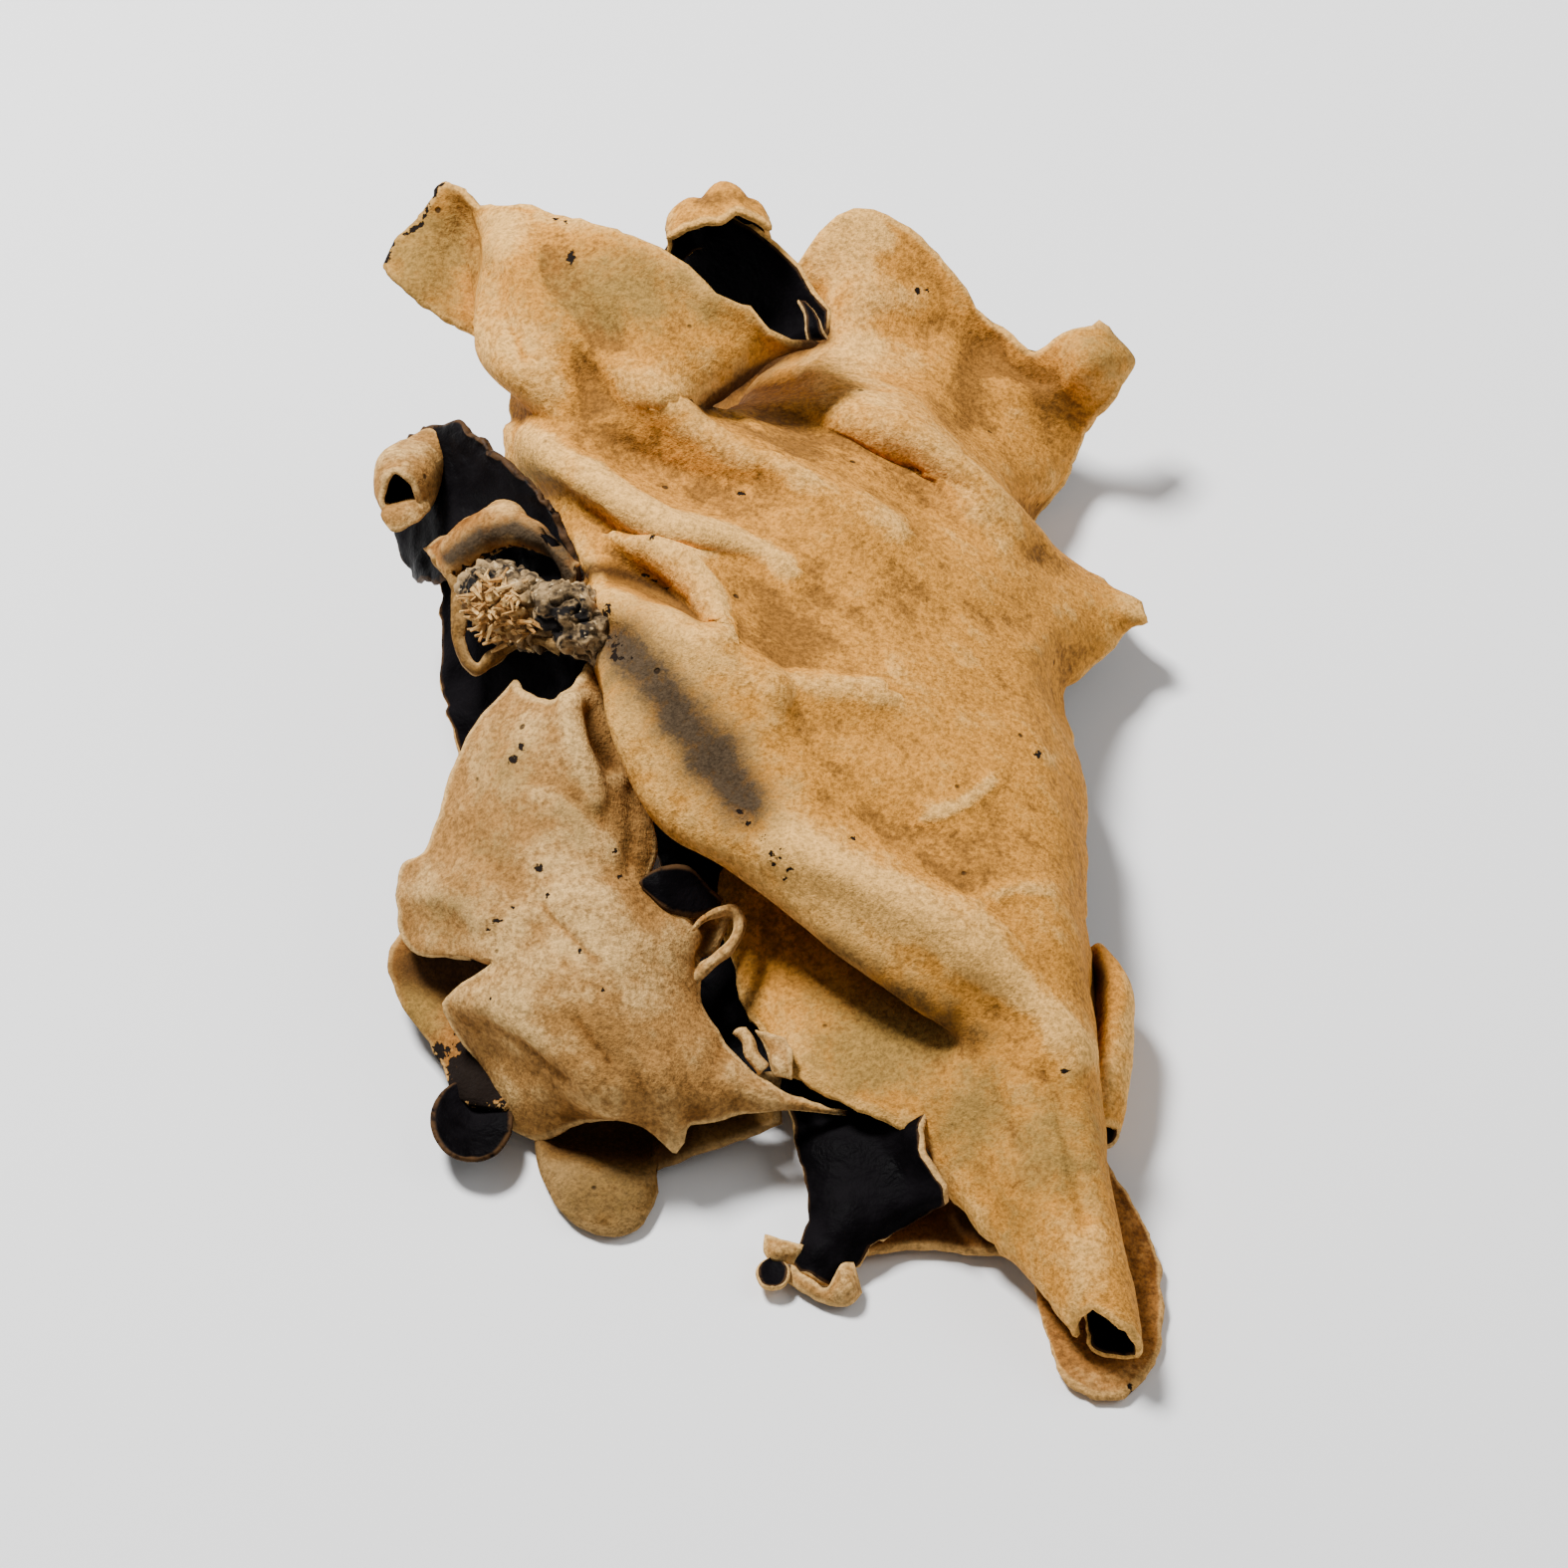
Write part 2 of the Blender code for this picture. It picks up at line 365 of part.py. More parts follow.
def sheet_mesh(grid, closed=False, flip=False):
    """A closed thin solid round a grid of points, and for each triangle its material.

    A closed grid joins its last column to its first. A flipped sheet has its
    tan side where the others have their black one.
    """
    along, across = grid.shape[:2]
    outward = facing(grid, closed)
    near_rim = np.minimum(rim_distance(along, False)[:, None], rim_distance(across, closed)[None, :])
    share = np.clip(near_rim / RIM_BAND, 0.0, 1.0)[..., None]
    half = 0.5 * (RIM_WALL + (WALL - RIM_WALL) * share)
    faces_out = (grid + outward * half).reshape(-1, 3)
    faces_in = (grid - outward * half).reshape(-1, 3)
    points = np.vstack([faces_out, faces_in]) * MM
    out_side, in_side = (BLACK, TAN) if flip else (TAN, BLACK)

    def number(row, column, inner):
        return row * across + column % across + (along * across if inner else 0)

    triangles = []
    sides = []
    last_column = across if closed else across - 1
    for row in range(along - 1):
        for column in range(last_column):
            corners = [(row, column), (row + 1, column), (row + 1, column + 1), (row, column + 1)]
            a, b, c, d = (number(*corner, False) for corner in corners)
            triangles += [(a, b, c), (a, c, d)]
            a, b, c, d = (number(*corner, True) for corner in corners)
            triangles += [(a, c, b), (a, d, c)]
            sides += [out_side, out_side, in_side, in_side]

    if closed:
        loops = [[(0, column) for column in range(across)][::-1],
                 [(along - 1, column) for column in range(across)]]
    else:
        rim = [(0, column) for column in range(across)]
        rim += [(row, across - 1) for row in range(1, along)]
        rim += [(along - 1, column) for column in range(across - 2, -1, -1)]
        rim += [(row, 0) for row in range(along - 2, 0, -1)]
        loops = [rim[::-1]]
    for loop in loops:
        for here, there in zip(loop, loop[1:] + loop[:1]):
            a, b = number(*here, False), number(*there, False)
            c, d = number(*there, True), number(*here, True)
            triangles += [(a, c, b), (a, d, c)]
            sides += [TAN, TAN]
    return points, triangles, sides


def cup_rows(centre, radius, depth):
    """The rows of a round cup that faces the viewer."""
    across, up, height = centre
    rows = []
    for share in CUP_SHARES:
        half = radius * math.sqrt(1.0 - share * share)
        level = up + radius * share
        sink = depth * (1.0 - share * share)
        rows.append([(0, across - half, level, height), (1, across, level, height - sink),
                     (2, across + half, level, height)])
    return rows


def tube_grid(rings, spokes, steps):
    """The middle surface of a tube along the rings, as a closed grid."""
    centres = np.array([spot(*ring[:3]) for ring in rings])
    radii = np.array([[ring[3]] for ring in rings])
    places = np.arange(len(rings))
    wanted = np.linspace(0, len(rings) - 1, steps)
    path = smooth(places, centres, wanted)
    widths = smooth(places, radii, wanted)
    heading = np.gradient(path, axis=0)
    heading /= np.linalg.norm(heading, axis=1, keepdims=True)
    grid = np.empty((steps, spokes, 3))
    for step in range(steps):
        side = np.cross(heading[step], VIEW_BACK)
        side /= np.linalg.norm(side)
        over = np.cross(side, heading[step])
        for spoke in range(spokes):
            turn = 2.0 * math.pi * spoke / spokes
            grid[step, spoke] = path[step] + widths[step] * (math.cos(turn) * side + math.sin(turn) * over)
    return grid


def skin_materials():
    """The tan outer side and the black inner side, made once."""
    made = []
    for name, colour, roughness in (("tan_felt", TAN_COLOUR, 0.85), ("black_inner_skin", BLACK_COLOUR, 0.4)):
        material = bpy.data.materials.get(name)
        if material is None:
            material = bpy.data.materials.new(name)
            material.use_nodes = True
            shader = material.node_tree.nodes["Principled BSDF"]
            shader.inputs["Base Color"].default_value = (*colour, 1.0)
            shader.inputs["Roughness"].default_value = roughness
        made.append(material)
    return made


def add_object(name, points, triangles, sides):
    """A mesh object from points in metres, triangles and their materials."""
    mesh = bpy.data.meshes.new(name)
    mesh.from_pydata([tuple(point) for point in points], [], triangles)
    for material in skin_materials():
        mesh.materials.append(material)
    mesh.polygons.foreach_set("material_index", sides)
    thing = bpy.data.objects.new(name, mesh)
    bpy.context.scene.collection.objects.link(thing)
    work = bmesh.new()
    work.from_mesh(mesh)
    bmesh.ops.recalc_face_normals(work, faces=work.faces)
    work.to_mesh(mesh)
    work.free()
    return thing


def add_stub():
    """The lumpy woody knob of the holdfast."""
    work = bmesh.new()
    bmesh.ops.create_icosphere(work, subdivisions=3, radius=1.0)
    centre = spot(*STUB_CENTRE)
    for vertex in work.verts:
        out = np.array(vertex.co)
        place = centre + out * np.array(STUB_HALF)
        lump = noise.noise(Vector(place / STUB_LUMP_SIZE))
        vertex.co = Vector((place + out * STUB_LUMP * lump) * MM)
    mesh = bpy.data.meshes.new("holdfast")
    for material in skin_materials():
        mesh.materials.append(material)
    work.to_mesh(mesh)
    work.free()
    thing = bpy.data.objects.new("holdfast", mesh)
    bpy.context.scene.collection.objects.link(thing)
    return thing


def clear_scene():
    """Removes what the opened file holds."""
    for thing in list(bpy.data.objects):
        bpy.data.objects.remove(thing, do_unlink=True)


def joined(pieces):
    """All the pieces grown together into one body, flat where it rests on the table."""
    first = pieces[0]
    others = bpy.data.collections.new("grown_on")
    for piece in pieces[1:]:
        others.objects.link(piece)
    union = first.modifiers.new("grown together", "BOOLEAN")
    union.operation = "UNION"
    union.solver = "EXACT"
    union.operand_type = "COLLECTION"
    union.collection = others
    apply_modifiers(first)
    for piece in pieces[1:]:
        bpy.data.objects.remove(piece, do_unlink=True)
    bpy.data.collections.remove(others)

    below = bpy.data.meshes.new("table")
    work = bmesh.new()
    bmesh.ops.create_cube(work, size=TABLE_BLOCK)
    bmesh.ops.translate(work, verts=work.verts, vec=(0.0, 0.0, -TABLE_BLOCK / 2.0))
    work.to_mesh(below)
    work.free()
    table = bpy.data.objects.new("table", below)
    bpy.context.scene.collection.objects.link(table)
    cut = first.modifiers.new("flat feet", "BOOLEAN")
    cut.operation = "DIFFERENCE"
    cut.solver = "EXACT"
    cut.object = table
    apply_modifiers(first)
    bpy.data.objects.remove(table, do_unlink=True)
    return first


def apply_modifiers(thing):
    """Makes the object's mesh what its modifiers show, and drops them."""
    seen = thing.evaluated_get(bpy.context.evaluated_depsgraph_get())
    mesh = bpy.data.meshes.new_from_object(seen)
    thing.modifiers.clear()
    thing.data = mesh


def centred(thing):
    """Moves the mesh so that its box stands centred on the origin."""
    places = np.array([vertex.co for vertex in thing.data.vertices])
    middle = 0.5 * (places.min(axis=0) + places.max(axis=0))
    for vertex in thing.data.vertices:
        vertex.co.x -= middle[0]
        vertex.co.y -= middle[1]


def make_pieces():
    """Every sheet, tube and lump of the clump, each closed by itself."""
    return [
        add_object("main_sheet", *sheet_mesh(folded(skin(MAIN_ROWS, 31, 41), MAIN_FOLDS))),
        add_object("pale_lobe", *sheet_mesh(skin(LOBE_ROWS, 17, 21))),
        add_object("lip", *sheet_mesh(skin(LIP_ROWS, 6, 14), flip=True)),
        add_object("pocket", *sheet_mesh(skin(POCKET_ROWS, 6, 9))),
        add_object("neck", *sheet_mesh(skin(NECK_ROWS, 6, 6), flip=True)),
        add_object("hanging", *sheet_mesh(skin(HANGING_ROWS, 11, 17), flip=True)),
        add_object("foot", *sheet_mesh(skin(FOOT_ROWS, 6, 18), flip=True)),
        add_object("dark_lobe", *sheet_mesh(skin(DARK_ROWS, 11, 8))),
        add_object("collar", *sheet_mesh(skin(COLLAR_ROWS, 9, 5))),
        add_object("mouth_lip", *sheet_mesh(skin(MOUTH_LIP_ROWS, 9, 4))),
        add_object("side_roll", *sheet_mesh(tube_grid(SIDE_ROLL, 10, 8), closed=True)),
        add_object("small_roll", *sheet_mesh(tube_grid(SMALL_ROLL, 10, 6), closed=True)),
        add_object("cup", *sheet_mesh(skin(cup_rows(CUP_CENTRE, CUP_RADIUS, CUP_DEPTH), 7, 7), flip=True)),
        add_stub(),
    ]


def build():
    clear_scene()
    clump = joined(make_pieces())
    clump.name = "wood_ear"
    clump.data.name = "wood_ear"
    centred(clump)
    clump.data.shade_smooth()
    clump.data.set_sharp_from_angle(angle=math.radians(SHARP_DEG))


build()
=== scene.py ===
import math

import bmesh
import bpy
import numpy as np
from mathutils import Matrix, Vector, noise


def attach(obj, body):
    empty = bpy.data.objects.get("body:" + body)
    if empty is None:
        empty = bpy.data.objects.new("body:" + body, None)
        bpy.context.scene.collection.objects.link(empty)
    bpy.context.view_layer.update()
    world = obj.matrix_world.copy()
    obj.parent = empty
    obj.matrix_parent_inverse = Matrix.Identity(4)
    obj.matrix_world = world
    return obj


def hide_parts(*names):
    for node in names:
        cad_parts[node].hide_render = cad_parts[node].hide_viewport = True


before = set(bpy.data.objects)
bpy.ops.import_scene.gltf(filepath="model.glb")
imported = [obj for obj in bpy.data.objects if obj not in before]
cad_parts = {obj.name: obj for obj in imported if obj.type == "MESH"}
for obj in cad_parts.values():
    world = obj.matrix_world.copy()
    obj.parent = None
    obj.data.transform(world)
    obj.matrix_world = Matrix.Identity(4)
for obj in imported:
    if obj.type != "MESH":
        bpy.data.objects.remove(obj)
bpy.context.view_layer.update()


# View, floor and light. The clump lies on a pale floor under soft studio light, and
# the camera looks down on it at 50 degrees, as the photograph does. Places are given
# as that viewer sees them: millimetres across and up the view, and above the floor.
MM = 0.001
VIEW_RISE_DEG = 50.0
VIEW_DISTANCE = 950.0
AIM_HEIGHT = 20.0
VIEW_WIDTH = 198.0
SENSOR_WIDTH = 36.0
CLIP_START = 0.05
CLUMP_MIDDLE = np.array([-2.928, 5.689, 0.0])

rise = math.radians(VIEW_RISE_DEG)
VIEW_RIGHT = np.array([1.0, 0.0, 0.0])
VIEW_UP = np.array([0.0, math.sin(rise), math.cos(rise)])
VIEW_BACK = np.array([0.0, -math.cos(rise), math.sin(rise)])
AIM = np.array([0.0, 0.0, AIM_HEIGHT])
EYE = AIM + VIEW_DISTANCE * VIEW_BACK

camera_data = bpy.data.cameras.new("camera")
camera_data.sensor_width = SENSOR_WIDTH
camera_data.lens = SENSOR_WIDTH * VIEW_DISTANCE / VIEW_WIDTH
camera_data.clip_start = CLIP_START
camera = bpy.data.objects.new("camera", camera_data)
camera.location = (EYE - CLUMP_MIDDLE) * MM
camera.rotation_euler = (math.radians(90.0 - VIEW_RISE_DEG), 0.0, 0.0)
bpy.context.scene.collection.objects.link(camera)
bpy.context.scene.camera = camera

FLOOR_HALF = 6.0
FLOOR_COLOUR = (0.86, 0.86, 0.86)
FLOOR_ROUGHNESS = 0.9
SKY_STRENGTH = 0.21
floor_mesh = bpy.data.meshes.new("floor")
floor_mesh.from_pydata([(-FLOOR_HALF, -FLOOR_HALF, 0), (FLOOR_HALF, -FLOOR_HALF, 0),
                        (FLOOR_HALF, FLOOR_HALF, 0), (-FLOOR_HALF, FLOOR_HALF, 0)], [], [(0, 1, 2, 3)])
floor = bpy.data.objects.new("floor", floor_mesh)
bpy.context.scene.collection.objects.link(floor)
floor_paint = bpy.data.materials.new("pale floor")
floor_paint.use_nodes = True
floor_shader = floor_paint.node_tree.nodes["Principled BSDF"]
floor_shader.inputs["Base Color"].default_value = (*FLOOR_COLOUR, 1)
floor_shader.inputs["Roughness"].default_value = FLOOR_ROUGHNESS
floor_mesh.materials.append(floor_paint)


def soft_lamp(name, place, size, watts):
    """A square soft box that shines on the clump."""
    lamp = bpy.data.lights.new(name, "AREA")
    lamp.size = size
    lamp.energy = watts
    holder = bpy.data.objects.new(name, lamp)
    holder.location = place
    holder.rotation_euler = Vector(place).to_track_quat("Z", "Y").to_euler()
    bpy.context.scene.collection.objects.link(holder)


soft_lamp("key", place=(-0.36, 0.36, 0.80), size=0.22, watts=21.5)
soft_lamp("fill", place=(0.80, 0.05, 0.60), size=0.7, watts=4.0)
world = bpy.data.worlds.new("studio")
world.use_nodes = True
world.node_tree.nodes["Background"].inputs["Color"].default_value = (1, 1, 1, 1)
world.node_tree.nodes["Background"].inputs["Strength"].default_value = SKY_STRENGTH
bpy.context.scene.world = world


# Main sheet. One big leathery sheet that grew from the holdfast: felted tan back
# outside, black skin inside. It rolls over at the top into a pleat with an open mouth,
# arches over the floor, overhangs its own lower layer and runs down into a rolled tail.
# Each row is laid across it from the left rim (place 0) to the right rim (place 16).
MAIN_ROWS = [
    [(0, -50.5, 65, 34), (1, -48.8, 68.3, 35), (2, -46.6, 70.6, 36.2), (3, -44.6, 73.4, 38.2),
     (3.6, -42.9, 75.9, 40), (4, -41.2, 75.2, 40), (4.4, -39.4, 73.4, 39.6), (4.8, -37, 72.9, 41),
     (5.4, -33.6, 72.8, 43.4), (6, -30, 72.1, 44.8), (6.5, -26.5, 71, 46), (7, -22, 69.6, 47),
     (7.5, -17.5, 68, 47.8), (7.9, -12.5, 65.5, 47.6), (8.15, -9.3, 62.6, 46.8),
     (8.35, -7, 60.8, 45.8), (8.5, -5, 60.7, 44.8), (8.7, -2, 57.3, 43), (8.85, 0.5, 56.3, 41.5),
     (9, 3.4, 55.9, 39.6), (9.15, 5.6, 57.2, 38.4), (9.3, 6.2, 59.3, 38.6), (9.5, 4, 62.5, 39.6),
     (9.65, 1.5, 65.4, 41), (9.8, -1.5, 68.9, 43), (9.95, -4.5, 71, 44), (10.15, -8.5, 71.4, 43.6),
     (10.4, -13.5, 69, 37), (10.85, -20, 47, 6), (11, -15.5, 42, 0.8), (11.15, -10, 46, 5),
     (11.6, -4.5, 58, 17), (12, 1.5, 65.3, 25), (13, 9.5, 72.7, 29), (14, 21, 65, 23),
     (14.6, 27, 57, 18), (15, 31.5, 54.4, 17), (15.5, 36, 57, 20), (16, 39.7, 58.4, 20)],
    [(0, -44.5, 59.6, 33), (1, -44, 62, 34), (2, -43, 64.5, 34.6), (3, -41.3, 66.8, 35),
     (4, -39, 67.6, 35.2), (4.35, -37.2, 67.2, 35.8), (4.55, -36.9, 66.9, 38.6),
     (4.75, -36.6, 66.8, 41.6), (5, -35, 66.6, 43.6), (6, -30, 65.8, 45.2), (7, -22, 62, 46.5),
     (8, -12.5, 58, 45), (8.5, -6, 56.2, 42.5), (8.85, -2.2, 54.9, 39.6), (9, -1, 54.3, 37.2),
     (9.2, -1.4, 54.6, 34.8), (10, -7, 57, 29), (10.85, -19, 43, 6), (11, -14.5, 38.5, 1.2),
     (11.15, -10, 42.5, 5), (12, 3, 57, 19), (13, 9, 58, 23), (14, 20, 58, 19),
     (15, 33, 50.5, 14), (15.6, 39.5, 53.5, 20), (16, 43.7, 53.5, 17)],
    [(0, -37.6, 55.8, 30.5), (2, -36.6, 55.6, 31), (4, -37.4, 55.4, 33), (4.5, -38.6, 55.2, 36.5),
     (4.75, -38.3, 55, 39), (5, -36.6, 54.6, 41), (6, -30, 53.8, 42.5), (7, -24, 53, 41),
     (8, -15, 49.8, 42.5), (8.7, -9, 49.6, 38.5), (9, -7.2, 49.7, 36), (9.25, -7.6, 49.9, 33.5),
     (10, -10, 50.5, 27), (10.85, -16.5, 43, 13), (11, -13.5, 39, 8), (11.15, -10, 42, 11),
     (12, -3, 50, 18), (13, 6, 51, 24), (14, 19, 52, 20), (15, 32, 49, 14), (16, 40.5, 47.5, 13)],
    [(0, -34, 47, 29), (2, -33, 46.5, 31.5), (4, -31, 46, 36), (5, -28.5, 45.5, 38),
     (6, -26, 45, 38.2), (7, -21, 45.5, 38.4), (8, -14, 47.3, 40.8), (9, -10.5, 46, 36.5),
     (10, -9.2, 46.2, 33.5), (11, -7, 46.5, 31), (12, -1.5, 46.5, 28), (13, 11, 47.5, 30),
     (14, 20, 48, 21), (15, 31, 44, 12), (16, 37.5, 43.5, 7)],
    [(0, -35, 40.5, 28), (2, -33.5, 40.5, 30.5), (4, -30.5, 41, 35), (5, -28, 40, 37.8),
     (6, -24, 38.3, 38.6), (7, -17, 40.5, 35.6), (8, -8.5, 43, 38.8), (9, -5.5, 42.3, 37.3),
     (10, -3.2, 42, 36), (11, -0.3, 41.8, 34.3), (12, 8, 43, 29), (13, 16, 45, 31.5),
     (14, 22, 43, 22), (15, 30, 38.5, 12), (16, 35, 38, 4)],
    [(0, -31.5, 36.5, 27), (2, -30, 36.3, 29), (4, -27.5, 36.5, 34), (5, -25, 36.5, 36.5),
     (6, -19, 35, 39), (7, -11, 37, 35), (8, -1, 39.5, 37.5), (9, 2, 38.5, 36.5),
     (10, 4.5, 38, 35), (11, 7.5, 38.3, 33), (12, 15, 39.5, 27), (13, 22, 40, 28.5),
     (14, 26, 37.5, 22), (15, 29, 34.5, 11), (16, 31, 32.2, 1)],
    [(0, -27.5, 30.5, 28), (2, -26.5, 30, 31), (4, -24.5, 29.5, 34.5), (5, -20, 30.5, 35),
     (6, -13, 31.5, 39), (7, -6, 31.5, 36), (8, 3, 33, 36), (10, 11, 33.8, 33.5),
     (12, 20, 34.5, 26), (13, 27, 34, 24.5), (14, 31.5, 30.7, 18), (15, 38, 25.3, 12),
     (16, 45, 22, 9)],
    [(0, -25, 22.5, 31), (3, -23, 22, 35), (4, -20, 22.3, 38.5), (4.6, -16.5, 23.8, 34.2),
     (5.4, -12.5, 27.5, 38), (6.5, -5, 27.5, 35), (8, 5, 27, 34.5), (10, 15, 27.5, 32),
     (12, 25, 27, 26), (14, 33, 22, 18), (15, 38.5, 20.5, 12), (16, 44, 19.5, 8)],
    [(0, -24.5, 17, 28), (2, -22.5, 14.5, 33), (3, -21, 14, 36), (4, -12, 18.8, 41),
     (4.6, -9.8, 19.4, 37.8), (5.2, -7.8, 20.6, 38), (6.5, 0, 20.5, 34.5), (8, 9, 20.5, 33.5),
     (10, 17, 20, 31), (12, 25, 19, 26.5), (14, 32, 17, 20), (15, 35, 15.8, 13),
     (16, 38.5, 14.8, 8)],
    [(0, -20.5, 6, 24), (1.5, -19, 6.5, 28), (3, -18.6, 5, 33), (4, -6, 10, 37.5),
     (6, 1, 13, 35.5), (8, 10, 13, 33.5), (10, 18, 13, 31), (12, 26, 12.5, 26.5),
     (14, 31.5, 11.5, 20.5), (15, 33.8, 11.2, 14), (16, 35, 11, 8)],
    [(0, -12, -8, 13), (1.5, -12, -2.5, 18.5), (3, -15, -4.5, 28), (4, -5, 0, 33),
     (6, 4, 5, 33.5), (8, 13, 6.5, 32), (10, 20, 7, 30), (12, 27, 7, 26.5),
     (14, 32.5, 6.5, 21), (15, 35, 6.3, 14), (16, 36, 6, 8)],
    [(0, -4, -29, 10), (1, -3, -21, 12.5), (2, -0.5, -10.5, 16.5), (3, -5.5, -10.8, 25),
     (4, 2, -8.5, 31), (6, 11, -3.5, 30), (8, 18, -1.5, 30), (10, 24, -0.5, 28.5),
     (12, 29.5, 0, 25.5), (14, 34.5, 0, 20), (15, 36.7, 0, 14.5), (16, 37.6, 0, 9)],
    [(0, 2, -37, 10.5), (1, 5, -29, 12.5), (2, 10, -18.5, 15.5), (3, 6, -20, 22.8),
     (4, 12, -14.5, 29), (6, 18.5, -10.5, 27.5), (8, 24, -8.5, 27.5), (10, 29, -7.5, 26),
     (12, 33, -7.3, 23), (14, 36, -7.2, 18), (15, 37.2, -7.2, 14), (16, 37.7, -7.2, 10)],
    [(0, 11, -41.5, 11), (1, 14, -35, 13), (2, 18.5, -27, 15), (3, 16.3, -26.8, 20.8),
     (4, 23, -20.5, 26), (6, 28, -17.5, 25), (8, 31.3, -16.3, 24.5), (10, 33.8, -15.6, 23),
     (12, 35.7, -15.2, 20), (14, 36.9, -15, 16), (15, 37.3, -15, 13), (16, 37.4, -15, 10)],
    [(0, 17.3, -44.5, 10), (1, 20, -39, 13), (2, 22.5, -35, 15.5), (3, 25, -32, 18.5),
     (4, 30, -27.5, 21), (6, 33.3, -26.2, 21.3), (8, 35.3, -25.6, 20.5), (10, 36.6, -25.2, 19),
     (12, 37.5, -25.1, 16.5), (14, 38, -25, 13.5), (15, 38.2, -25, 11.5), (16, 38.2, -25, 9)],
    [(0, 20.5, -51, 7), (1, 22, -47, 10.5), (2, 25, -44, 13), (3, 28.5, -41.5, 15.3),
     (4, 32, -39.5, 17), (6, 34.5, -38.5, 17.5), (8, 36.5, -38, 17), (10, 38, -37.5, 15.3),
     (12, 38.9, -37.5, 12.5), (14, 38.7, -37.5, 9), (15, 37, -37.5, 7.5), (16, 34.5, -37.5, 7)],
    [(0, 23.5, -54.5, 5.5), (1, 24, -53, 8), (2, 26.5, -51, 10.5), (3, 29.5, -50, 13),
     (4, 33, -49.3, 14.8), (6, 36, -49.3, 15.2), (8, 38.3, -49.5, 14.5), (10, 39.9, -50, 12),
     (12, 40.7, -51, 9), (14, 39.5, -51.5, 6), (15, 37, -51.5, 5), (16, 34, -51, 4.8)],
    [(0, 29.5, -60.5, 4.3), (1, 29.5, -59.5, 6.5), (2, 31, -58.3, 9), (3, 33, -57.8, 11),
     (4, 35.5, -57.7, 12.8), (6, 38.2, -58.2, 13), (8, 40.5, -59, 12), (10, 42.2, -60, 9.5),
     (12, 42.8, -61.3, 6.5), (14, 41, -62.2, 4.3), (15, 38.5, -62, 3.6), (16, 36, -61.3, 3.6)],
    [(0, 37, -69.3, 4.5), (1, 36.6, -68, 6.5), (2, 37, -66.6, 8.3), (3, 38, -66.3, 9.7),
     (4, 39, -66.3, 10.6), (6, 40.8, -66.8, 10.8), (8, 42.5, -68, 10), (10, 44, -69.5, 8),
     (12, 44.6, -71, 5.7), (14, 43.5, -72.2, 4), (15, 41, -71.8, 3.4), (16, 38.8, -70.7, 3.6)],
]

# Folds raised out of the sheet, or pressed in when negative: the line, its half widths
# to the right and to the left of it, and its height
MAIN_FOLDS = [
    ([(-35, 67.5), (-32.5, 63.5), (-29.5, 59), (-26, 55.5), (-20.4, 52.6), (-13.7, 47.4),
      (-7.1, 43.7), (-1, 40.4), (6, 37), (14, 32)], 2.6, 1.3, 1.1),
    ([(-33, 44), (-28, 41), (-24, 38.5), (-19, 35), (-14, 32.5), (-7, 30), (0, 27)], 2.6, 1.6, 1.2),
    ([(-22, 45.5), (-17, 43), (-11, 41), (-5, 38.8)], 1.8, 1.8, 0.5),
    ([(-20, 30.5), (-16, 29.8), (-12, 27.5), (-9.8, 24.6), (-8.4, 21.5), (-7.7, 18.5)], 2.2, 0.9, 1.7),
    ([(-24, 26.5), (-20, 26), (-16, 25), (-12.5, 22.3), (-10.5, 20)], 1.8, 1.8, -1.2),
    ([(-24, 23), (-20, 22.5), (-15, 21), (-9, 18), (-5, 15), (-1, 12.5), (5, 12), (11, 11)], 2.6, 1.3, 1.1),
    ([(5, 50), (12, 46.5), (16, 45), (20, 41.5), (25, 38), (28, 35), (31, 31.5)], 1.6, 2.6, 0.7),
    ([(8, 45.5), (13, 42.5), (18, 39.5), (24, 34.5)], 2.4, 2.4, 1.1),
    ([(0, -8), (10, -13), (16, -16), (22, -20), (28, -24.5), (33, -29), (37, -34)], 2.6, 2.0, 1.0),
    ([(7, 60), (12, 62), (17, 60)], 2.0, 2.0, 0.6),
    ([(26, 56), (23, 51), (24, 46)], 3.0, 3.0, -0.8),
    ([(33, -37), (35, -42), (37, -49), (38, -55)], 1.6, 1.6, -0.7),
    ([(26, -5), (22, -7), (14, -6), (6, -3)], 4.0, 4.0, -0.5),
    ([(-40, 72), (-42, 67), (-43, 62)], 2.5, 2.5, -0.7),
    ([(30, 29), (35, 27), (41, 25)], 2.0, 2.0, -0.5),
    ([(-36, 68), (-37.2, 63), (-38, 57.5)], 0.7, 1.3, 0.8),
    ([(-29.5, 65.5), (-26.5, 61), (-22, 57.5)], 1.6, 2.2, -0.5),
    ([(-35.3, 64), (-35, 59), (-33, 54)], 1.3, 1.3, -0.7),
    ([(-30, 71), (-24, 69), (-18, 66.8), (-12, 63.5)], 1.2, 1.0, 0.4),
    ([(-17, 63), (-12, 60), (-7, 57)], 2.2, 2.2, -0.6),
    ([(14, 26), (22, 22), (30, 20)], 2.0, 2.0, -0.35),
    ([(18, -4.5), (22, -3), (26, 0)], 0.8, 1.2, 0.35),
    ([(24, -15.5), (29, -13.5), (33, -14)], 0.8, 1.2, 0.35),
    ([(22, -30), (26, -38), (30, -46)], 1.6, 1.6, -0.5),
    ([(-12, 12), (-6, 4), (-1, -5)], 1.2, 2.0, 0.4),
    ([(3, 24), (10, 20), (12, 15)], 1.4, 1.4, -0.3),
]

